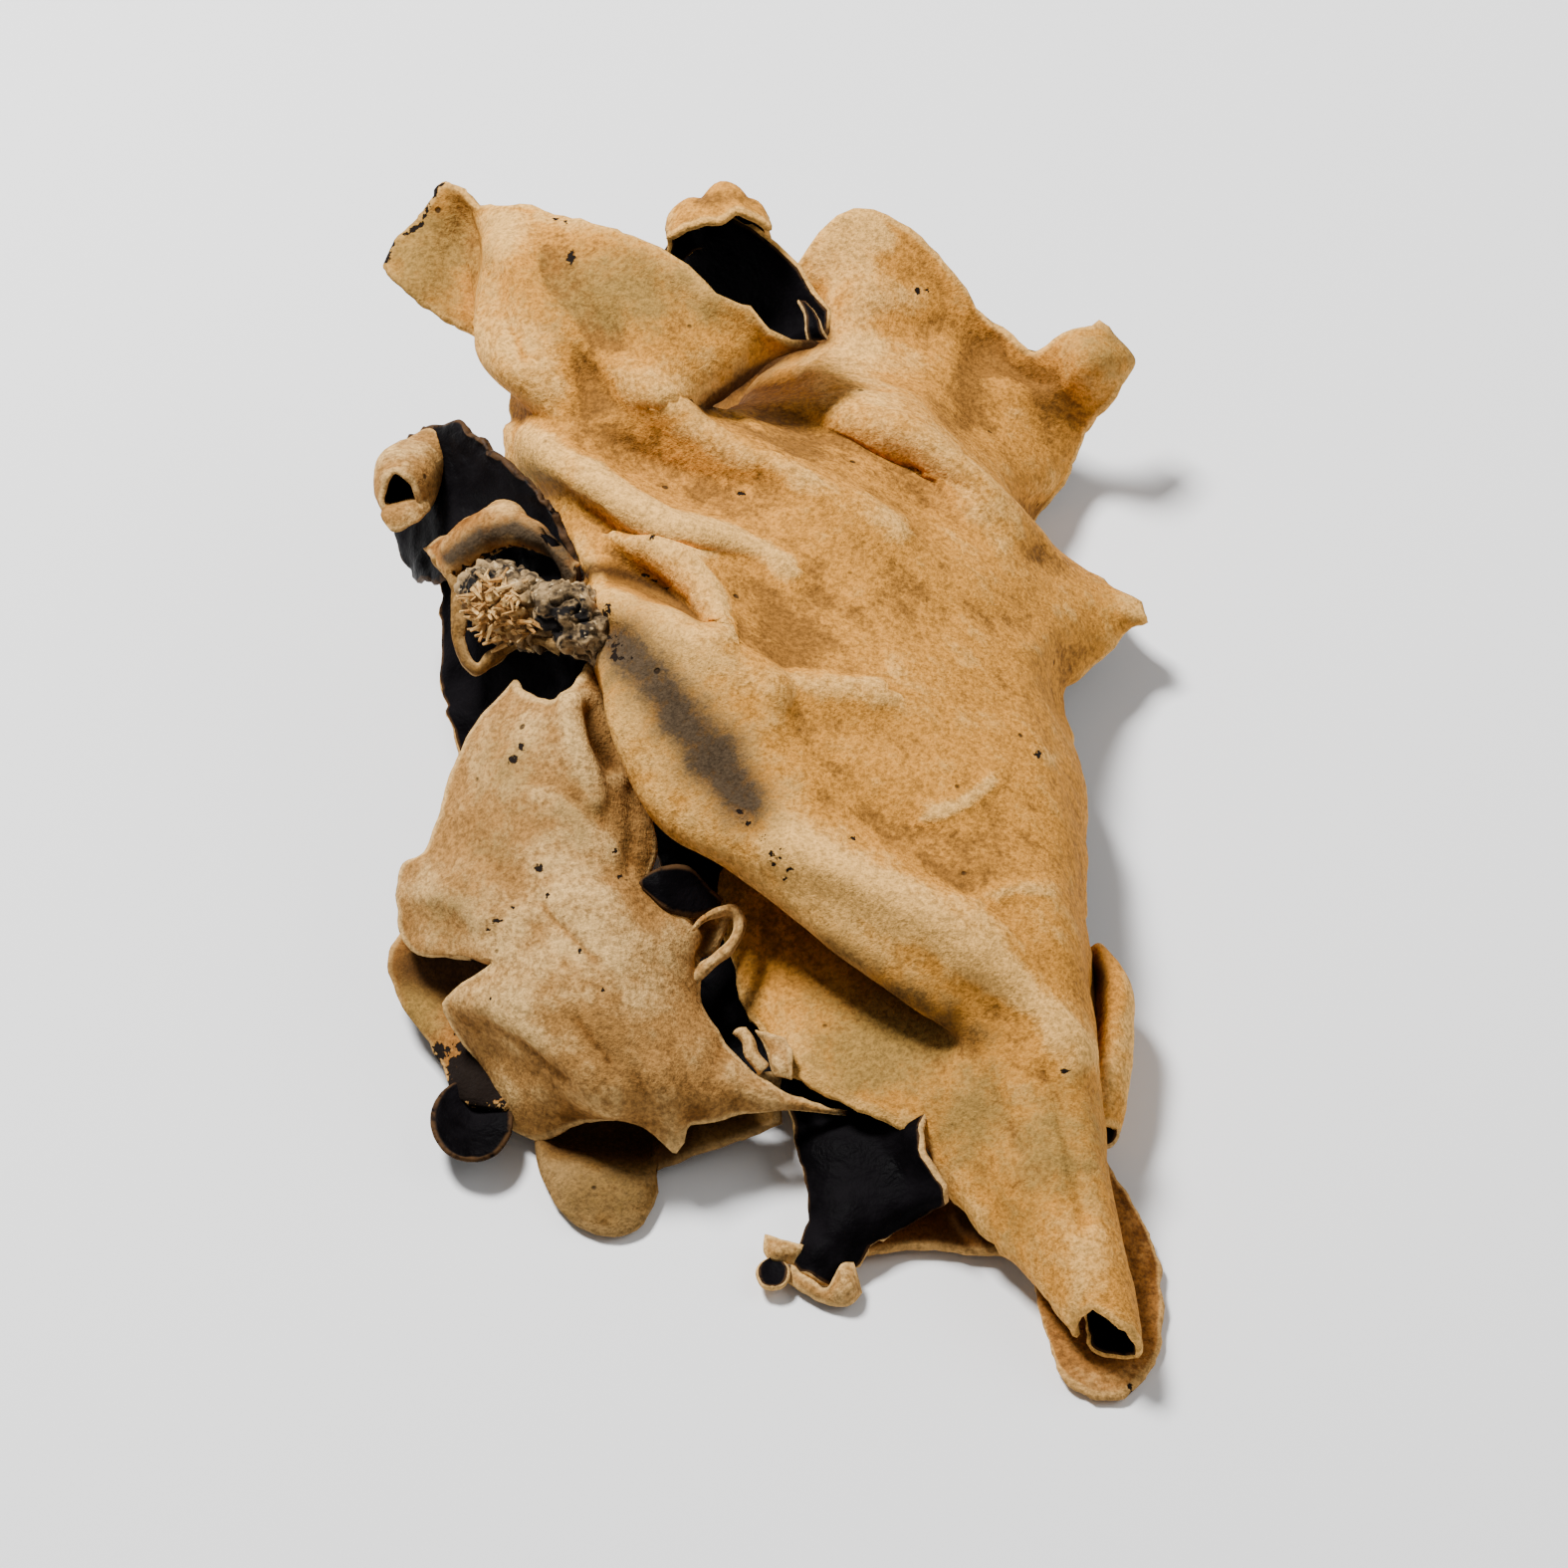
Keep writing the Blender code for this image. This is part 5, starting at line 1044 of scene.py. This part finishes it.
# Small crumpled growths behind the holdfast, and the thin roll at the right rim.
DARK_ROWS = [
    [(0, -47, 26, 18), (2, -42, 26, 24), (4, -36, 26, 28), (6, -30, 25, 31), (8, -26, 24, 32)],
    [(0, -49, 32, 20), (2, -43.5, 33, 26), (4, -37, 34, 30), (6, -31, 31.5, 33.5),
     (8, -26.5, 29, 35)],
    [(0, -50, 38, 23), (2, -44, 38.5, 28), (4, -38.5, 38, 32.5), (6, -33, 35.5, 35.5),
     (8, -28.3, 32, 36.5)],
    [(0, -47, 44, 29), (2, -43.5, 45, 32), (4, -40, 45, 35), (6, -35, 40.5, 37.5),
     (8, -29.3, 33.8, 37.5)],
]
DARK_FOLDS = [
    ([(-43, 45), (-38, 42.3), (-34, 39), (-30, 34.5), (-27.5, 30.5)], 0.9, 0.9, 1.7),
    ([(-41, 42), (-42.5, 38), (-43, 34)], 1.0, 1.4, 1.5),
    ([(-38.5, 41.5), (-40, 37.5)], 0.9, 0.9, -1.5),
    ([(-36, 38), (-38, 34), (-41, 31)], 1.3, 0.8, 1.1),
    ([(-33, 36), (-36, 32)], 0.9, 0.9, -0.9),
]
COLLAR_ROWS = [
    [(0, -45, 29.3, 28), (1, -42.2, 32.2, 31), (2, -39, 34.4, 33.5), (2.7, -36, 35.9, 34.8),
     (3.1, -34, 35.3, 35.3), (3.5, -32.2, 33.8, 35.8), (4, -30.3, 32.6, 36.3), (5, -26.2, 28, 36.5)],
    [(0, -44, 28, 30), (1, -41, 30.6, 34), (2, -38, 32.4, 36), (2.7, -35.6, 33.2, 37),
     (3.1, -34, 33, 37.3), (3.5, -32.3, 32.5, 37.7), (4, -30.2, 31.2, 38), (5, -26.4, 26.5, 37.3)],
    [(0, -42.6, 26.6, 30), (1, -39.8, 29.4, 33.8), (2, -37, 31, 35.4), (2.7, -35, 31.4, 36.3),
     (3.1, -33.7, 31.3, 36.6), (3.5, -32.2, 31, 36.9), (4, -30, 29.8, 36.8), (5, -26.8, 25.2, 36)],
    [(0, -41.5, 25.5, 28.5), (1, -38.7, 28.2, 31.5), (2, -36.3, 29.6, 33), (2.7, -34.6, 30, 33.8),
     (3.1, -33.5, 29.9, 34), (3.5, -32.2, 29.6, 34.2), (4, -29.8, 28.3, 34), (5, -27.2, 24, 33)],
]
DARK_RIM_ROWS = [
    [(0, -45.8, 42.4, 30.4), (1, -45.6, 43.2, 31.2), (2, -45.2, 43.9, 31.2)],
    [(0, -43.6, 43, 31.2), (1, -43.5, 43.8, 32), (2, -43.3, 44.5, 32)],
    [(0, -41.2, 42.4, 31.8), (1, -41, 43.2, 32.8), (2, -40.6, 43.9, 32.8)],
    [(0, -39.6, 41, 32), (1, -39.2, 41.6, 33), (2, -38.6, 42, 33)],
    [(0, -39.3, 39.6, 32), (1, -38.8, 40, 32.8), (2, -38.4, 40.3, 32.6)],
]
MOUTH_LIP_ROWS = [
    [(0, -14, 65, 36), (1, -11.3, 67.5, 38.5), (2, -7.7, 68, 39.8), (3, -4.5, 67.5, 40.2),
     (4, -1.3, 65.5, 39.5)],
    [(0, -14.6, 70.2, 44), (0.6, -13.6, 72.2, 45), (1, -12, 73.3, 46), (1.5, -10, 73.4, 46.8),
     (2, -8, 75.2, 47.4), (2.4, -6.6, 74.9, 47.3), (3, -5, 73.3, 47), (3.5, -3.6, 72.8, 46),
     (4, -2.6, 71.2, 45)],
    [(0, -14.8, 68.9, 46), (0.6, -13.2, 69.8, 47.2), (1, -11.8, 70.6, 47.8), (1.5, -9.8, 71.2, 48.4),
     (2, -7.6, 71.2, 48.8), (2.4, -6, 72, 48.8), (3, -4.4, 71.6, 48.2), (3.5, -3.3, 70.9, 47.4),
     (4, -2.3, 69.9, 46.4)],
]
TONGUE_ROWS = [
    [(0, 1.9, 60.9, 40.4), (1, 2.8, 60.7, 40.4)],
    [(0, 2.7, 59.2, 40.4), (1, 4.1, 58.9, 40.4)],
    [(0, 3, 57.2, 40), (1, 4.9, 57.1, 40)],
    [(0, 3.2, 55.8, 39), (1, 5.3, 56.2, 39)],
]
SIDE_ROLL_ROWS = [
    [(0, 38.5, -21.4, 9.6), (1, 38.8, -20.9, 9.2), (2, 39.8, -20.4, 9.6), (3, 40.4, -21.2, 9),
     (4, 39.8, -21.6, 8.2), (5, 39, -21.7, 8.2), (6, 38.5, -21.6, 8.8)],
    [(0, 37.8, -24.8, 10.6), (1, 39.2, -25.2, 7.6), (2, 41.6, -24.2, 11), (3, 43.1, -25.2, 8.5),
     (4, 41.5, -26, 6), (5, 39, -26, 5.5), (6, 37.4, -25.5, 7.4)],
    [(0, 38, -30.4, 11), (1, 39.4, -30.6, 8.4), (2, 41.5, -30.2, 11.4), (3, 43.4, -31, 8.5),
     (4, 41.5, -32, 5.6), (5, 39, -32, 5.3), (6, 37.4, -31.5, 7.5)],
    [(0, 38.2, -37.6, 10), (1, 39.5, -37.6, 9.8), (2, 41, -37.6, 10), (3, 42.9, -38, 7.5),
     (4, 41.3, -39, 5), (5, 39, -39, 4.8), (6, 37.4, -38.5, 7)],
    [(0, 38.4, -43.6, 7.8), (1, 39.4, -43.1, 8.4), (2, 40.8, -43, 8.2), (3, 42.1, -43.8, 6),
     (4, 40.9, -45.3, 3.9), (5, 39.2, -45.4, 3.9), (6, 37.8, -44.4, 5.8)],
]
SMALL_ROLL = [(-42.8, 44, 29, 1.0), (-43.9, 42.3, 29.4, 2.0), (-45.7, 40.3, 30, 2.8),
              (-47.3, 38.6, 31, 2.9), (-48.3, 37.4, 32.4, 2.5), (-48.8, 36.7, 34, 1.9)]
ROLL_FLAP_ROWS = [
    [(0, -51, 36.6, 30.5), (1, -50.8, 35, 31.5), (2, -50.3, 33.6, 32)],
    [(0, -49.4, 35.2, 31.5), (1, -49.4, 33.3, 32.2), (2, -49.3, 31.7, 31.6)],
    [(0, -47.4, 36, 31.5), (1, -47, 34.4, 32.4), (2, -46.7, 33, 32)],
    [(0, -45.6, 37.2, 30.5), (1, -45.2, 36, 31.6), (2, -44.9, 34.8, 31.4)],
]
HOOK_ROWS = [
    [(0, -44.6, 29.2, 29.5), (1, -44.1, 29, 30.5), (2, -43.5, 28.6, 30)],
    [(0, -42.2, 25.4, 29.5), (1, -41.6, 25.2, 30.7), (2, -41, 24.9, 30.3)],
    [(0, -41.9, 20.5, 28.8), (1, -41.2, 20.4, 30.2), (2, -40.4, 20.4, 30)],
    [(0, -41.2, 16, 27.2), (1, -40.5, 16.2, 28.8), (2, -39.9, 16.6, 28.8)],
    [(0, -39.6, 13.5, 26.5), (1, -39.2, 14.3, 28.2), (2, -38.8, 15.1, 28.2)],
    [(0, -36.9, 15.1, 27), (1, -37, 15.8, 28.7), (2, -37.1, 16.5, 28.8)],
    [(0, -34.2, 17.1, 28.3), (1, -34.3, 17.8, 29.8), (2, -34.4, 18.5, 29.8)],
    [(0, -31, 17.6, 29.2), (1, -31, 18.3, 30.8), (2, -31, 19, 30.8)],
    [(0, -28.6, 16.2, 29.8), (1, -28.3, 17, 31.3), (2, -28, 17.8, 31.2)],
]


def tube_grid(rings, spokes, steps):
    """The middle surface of a tube along the rings, as a closed grid."""
    centres = np.array([spot(*ring[:3]) for ring in rings])
    radii = np.array([[ring[3]] for ring in rings])
    places = np.arange(len(rings))
    wanted = np.linspace(0, len(rings) - 1, steps)
    path = smooth(places, centres, wanted)
    widths = smooth(places, radii, wanted)
    heading = np.gradient(path, axis=0)
    heading /= np.linalg.norm(heading, axis=1, keepdims=True)
    grid = np.empty((steps, spokes, 3))
    for step in range(steps):
        side = np.cross(heading[step], VIEW_BACK)
        side /= np.linalg.norm(side)
        over = np.cross(side, heading[step])
        for spoke in range(spokes):
            turn = 2.0 * math.pi * spoke / spokes
            grid[step, spoke] = path[step] + widths[step] * (math.cos(turn) * side + math.sin(turn) * over)
    return grid


COLLAR_MARKS = {
    "warm": [(-40, 33, 6, 3, 0.4)],
    "pale": [(-36, 35, 5, 1.2, 0.5)],
    "smoke": [([(-42, 28.4), (-38, 31.4), (-34, 32.2), (-30, 30.6), (-27, 26.5)], 1.2, 1.0)],
    "black_and_shadow": [([(-42, 26), (-38, 29), (-34, 30.2), (-30, 28.8)], 1.0, 1.0)],
}
# The side roll's left side is painted darker and its right face paler: painted shade and painted highlight
SIDE_ROLL_MARKS = {
    "shade": [(39.9, -24.5, 1.6, 3, 0.9)],
    "warm": [(40.3, -26, 2.4, 6, 1.2)],
    "pale": [([(42.2, -23), (43.2, -27), (43, -33)], 0.8, 0.8)],
}
dried_sheet("dark_lobe", DARK_ROWS, [satin_skin, satin_skin], spacing=0.5, seed=81, rag=0.8, wrinkle=1.8,
            folds=DARK_FOLDS)
dried_sheet("dark_rim", DARK_RIM_ROWS, [pale_felt, black_skin], spacing=0.35, seed=89, rag=0.3, rim_wall=0.8)
dried_sheet("collar", COLLAR_ROWS, [shaded_brown_felt, black_skin], spacing=0.4, seed=83, rag=0.7, wrinkle=1.5,
            marks=COLLAR_MARKS, rim_wall=0.5)
dried_sheet("mouth_lip", MOUTH_LIP_ROWS, [warm_felt, black_skin], spacing=0.5, seed=85, rag=0.5, wrinkle=0.8,
            marks={"warm": [(-8, 74, 7, 1.8, 1.1)]})
dried_sheet("mouth_tongue", TONGUE_ROWS, [pale_felt, black_skin], spacing=0.35, seed=91, rag=0.2, flip=True,
            rim_wall=0.8)
side_grid = wrinkled(ragged(skin(SIDE_ROLL_ROWS, spacing=0.5), seed=87, depth=0.15), seed=87, height=0.6)
sheet_object("side_roll", side_grid, [warm_felt, black_skin], SIDE_ROLL_MARKS)
roll_grid = ragged(tube_grid(SMALL_ROLL, spokes=44, steps=24), seed=88, depth=0.9, closed=True)
roll_grid = wrinkled(roll_grid, seed=88, height=2.4, closed=True)
sheet_object("small_roll", roll_grid, [pale_felt, black_skin], {"warm": [(-45, 37, 4, 6, 0.6)]}, closed=True,
             rim_wall=0.6)
dried_sheet("roll_flap", ROLL_FLAP_ROWS, [pale_felt, black_skin], spacing=0.35, seed=95, rag=0.4, wrinkle=1.0,
            marks={"warm": [(-50, 34, 2, 3, 0.8)]}, flip=True, rim_wall=0.4)
dried_sheet("hook_leaf", HOOK_ROWS, [lip_felt, lip_felt], spacing=0.4, seed=93, rag=0.6, wrinkle=1.4,
            marks={"warm": [(-40, 20, 5, 9, 0.5)]}, rim_wall=0.35)


# Holdfast: the hard woody knob that the whole clump grew from, torn off its log, with
# a flatter shoulder that runs out on the trunk. Straw fibres stand out of its left half.
KNOB = (-34.4, 22.6, 32)
KNOB_HALF = (7.2, 5.2, 5.2)
KNOB_LEAN_DEG = -28.0
SHOULDER = (-25.4, 20.4, 36.2)
SHOULDER_HALF = (7.6, 4.0, 3.2)
SHOULDER_LEAN_DEG = -44.0
LUMP_STEPS = 6
LUMPS = ((5.0, 1.5), (2.2, 0.8), (1.0, 0.45), (0.55, 0.2))
LUMP_SEED = 90
CRACK_SEED = 97
CRACK_SIZE = 2.6
CRACK_WIDTH = 0.08
CRACK_DEPTH = 0.9
FIBRE_AT = (-36.5, 21.5)
FIBRE_REACH = (4.6, 4.4)
FIBRE_LEAST_FACING = 0.25
FIBRE_SEED = 7
FIBRES_PER_SQUARE_METRE = 1.1e6
FIBRE_SIZE = {"Length": 0.0019, "Thick End": 0.00034, "Thin End": 0.00014}
FIBRE_SIDES = 5
FIBRE_LEAST_TURN = (0.9, -0.5, 0.0)
FIBRE_MOST_TURN = (1.9, 0.9, 6.2)
FIBRE_SHORTEST = 0.4
FIBRE_LONGEST = 1.3
LUMP_GRAIN = (420.0, 5.0, 0.65)
PATCH_GRAIN = (260.0, 3.0, 0.6)
STREAK_GRAIN = (900.0, 3.0, 0.6)
GREY_WOOD = ((0.050, 0.032, 0.016, 1), (0.34, 0.22, 0.10, 1))
STRAW_WOOD = ((0.20, 0.085, 0.018, 1), (0.60, 0.36, 0.12, 1))
LOOSE_FIBRE = ((0.36, 0.16, 0.035, 1), (0.66, 0.42, 0.16, 1))
ROTTEN_BLACK = (0.008, 0.006, 0.005, 1)
CREAM_GRAIN = (0.50, 0.36, 0.19, 1)


def woody_lump(name, middle, half, lean_deg):
    """A cracked woody lump that leans in the view, as a mesh."""
    mesh = bpy.data.meshes.new(name)
    work = bmesh.new()
    bmesh.ops.create_icosphere(work, subdivisions=LUMP_STEPS, radius=1.0)
    outs = np.array([tuple(vertex.co) for vertex in work.verts])
    lean = math.radians(lean_deg)
    along = math.cos(lean) * VIEW_RIGHT + math.sin(lean) * VIEW_UP
    upward = math.cos(lean) * VIEW_UP - math.sin(lean) * VIEW_RIGHT
    outward = outs @ np.stack([along, upward, VIEW_BACK])
    places = spot(*middle) + (outs * np.array(half)) @ np.stack([along, upward, VIEW_BACK])
    lift = np.zeros(len(places))
    for order, (size, rise_by) in enumerate(LUMPS):
        lift += rise_by * noise_at(places, size, LUMP_SEED + order)
    cracks = np.abs(noise_at(places, CRACK_SIZE, CRACK_SEED))
    lift -= CRACK_DEPTH * np.exp(-(cracks / CRACK_WIDTH) ** 2)
    places = places + outward * lift[:, None]
    for vertex, at in zip(work.verts, (places - CLUMP_MIDDLE) * MM):
        vertex.co = at
    work.to_mesh(mesh)
    work.free()
    apart = np.linalg.norm((seen_at(places) - FIBRE_AT) / FIBRE_REACH, axis=1)
    store(mesh, "straw", np.exp(-apart ** 2))
    store(mesh, "fibrous", (apart < 1.0) & (outward @ VIEW_BACK > FIBRE_LEAST_FACING))
    mesh.shade_smooth()
    return mesh


def woody_material(name, fibre=False):
    """Old wood: grey and black with cream grain, straw where it is torn."""
    material, maker, shader = new_material(name)
    place = maker.node("ShaderNodeTexCoord").outputs["Object"]
    lumps = maker.grain(place, *LUMP_GRAIN)
    if fibre:
        colour = maker.blend(maker.ramp(lumps, 0.35, 0.65), *LOOSE_FIBRE)
    else:
        streaks = maker.grain(place, *STREAK_GRAIN)
        grey = maker.blend(maker.ramp(lumps, 0.38, 0.62), *GREY_WOOD)
        straw = maker.blend(maker.ramp(streaks, 0.4, 0.6), *STRAW_WOOD)
        colour = maker.blend(maker.ramp(maker.attribute("straw"), 0.25, 0.7), grey, straw)
        patches = maker.grain(place, *PATCH_GRAIN)
        black_part = maker.math("MULTIPLY_ADD", maker.attribute("straw"), -0.12, patches)
        colour = maker.blend(maker.ramp(black_part, 0.53, 0.59), colour, ROTTEN_BLACK)
        colour = maker.blend(maker.ramp(streaks, 0.60, 0.68), colour, CREAM_GRAIN)
    bump = maker.node("ShaderNodeBump", {"Height": lumps, "Strength": 0.9, "Distance": 0.0006})
    maker.feed(shader, {"Base Color": colour, "Normal": bump.outputs["Normal"], "Roughness": 0.85,
                        "Specular IOR Level": 0.15})
    return material


def fibre_tree(material):
    """Geometry nodes that scatter torn straw fibres over the places marked fibrous."""
    tree = bpy.data.node_groups.new("straw fibres", "GeometryNodeTree")
    tree.interface.new_socket("Geometry", in_out="INPUT", socket_type="NodeSocketGeometry")
    for label in ("Density", *FIBRE_SIZE):
        tree.interface.new_socket(label, in_out="INPUT", socket_type="NodeSocketFloat")
    tree.interface.new_socket("Seed", in_out="INPUT", socket_type="NodeSocketInt")
    tree.interface.new_socket("Geometry", in_out="OUTPUT", socket_type="NodeSocketGeometry")
    maker = Maker(tree)
    given = maker.node("NodeGroupInput").outputs
    result = maker.node("NodeGroupOutput")
    torn = maker.node("GeometryNodeInputNamedAttribute", {"Name": "fibrous"}, data_type="FLOAT").outputs[0]
    density = maker.math("MULTIPLY", torn, given["Density"])
    points = maker.node("GeometryNodeDistributePointsOnFaces",
                        {"Mesh": given["Geometry"], "Density": density, "Seed": given["Seed"]})
    turn = maker.node("FunctionNodeRandomValue",
                      {0: FIBRE_LEAST_TURN, 1: FIBRE_MOST_TURN, "Seed": given["Seed"]},
                      data_type="FLOAT_VECTOR")
    length = maker.node("FunctionNodeRandomValue",
                        {2: FIBRE_SHORTEST, 3: FIBRE_LONGEST, "Seed": given["Seed"]}, data_type="FLOAT")
    sliver = maker.node("GeometryNodeMeshCone",
                        {"Vertices": FIBRE_SIDES, "Radius Bottom": given["Thick End"],
                         "Radius Top": given["Thin End"], "Depth": given["Length"]})
    scattered = maker.node("GeometryNodeInstanceOnPoints",
                           {"Points": points.outputs["Points"], "Instance": sliver.outputs["Mesh"],
                            "Rotation": turn.outputs[0], "Scale": length.outputs[1]})
    real = maker.node("GeometryNodeRealizeInstances", {"Geometry": scattered.outputs["Instances"]})
    painted = maker.node("GeometryNodeSetMaterial",
                         {"Geometry": real.outputs["Geometry"], "Material": material})
    maker.feed(result, {"Geometry": painted.outputs["Geometry"]})
    return tree


old_wood = woody_material("woody holdfast")
straw_wood = woody_material("torn straw fibre", fibre=True)
knob_mesh = woody_lump("holdfast", KNOB, KNOB_HALF, KNOB_LEAN_DEG)
shoulder_mesh = woody_lump("holdfast shoulder", SHOULDER, SHOULDER_HALF, SHOULDER_LEAN_DEG)
carrier = bpy.data.objects.new("fibre carrier", knob_mesh)
bpy.context.scene.collection.objects.link(carrier)
scatter = carrier.modifiers.new("fibres", "NODES")
scatter.node_group = fibre_tree(straw_wood)
sizes = {"Density": FIBRES_PER_SQUARE_METRE, "Seed": FIBRE_SEED, **FIBRE_SIZE}
for socket in scatter.node_group.interface.items_tree:
    if socket.in_out == "INPUT" and socket.name in sizes:
        scatter[socket.identifier] = sizes[socket.name]
scattered_carrier = carrier.evaluated_get(bpy.context.evaluated_depsgraph_get())
fibre_mesh = bpy.data.meshes.new_from_object(scattered_carrier)
bpy.data.objects.remove(carrier)
for name, mesh, wood in (("holdfast", knob_mesh, old_wood), ("holdfast_shoulder", shoulder_mesh, old_wood),
                         ("holdfast_fibres", fibre_mesh, straw_wood)):
    if not mesh.materials:
        mesh.materials.append(wood)
    finished_piece(name, mesh)
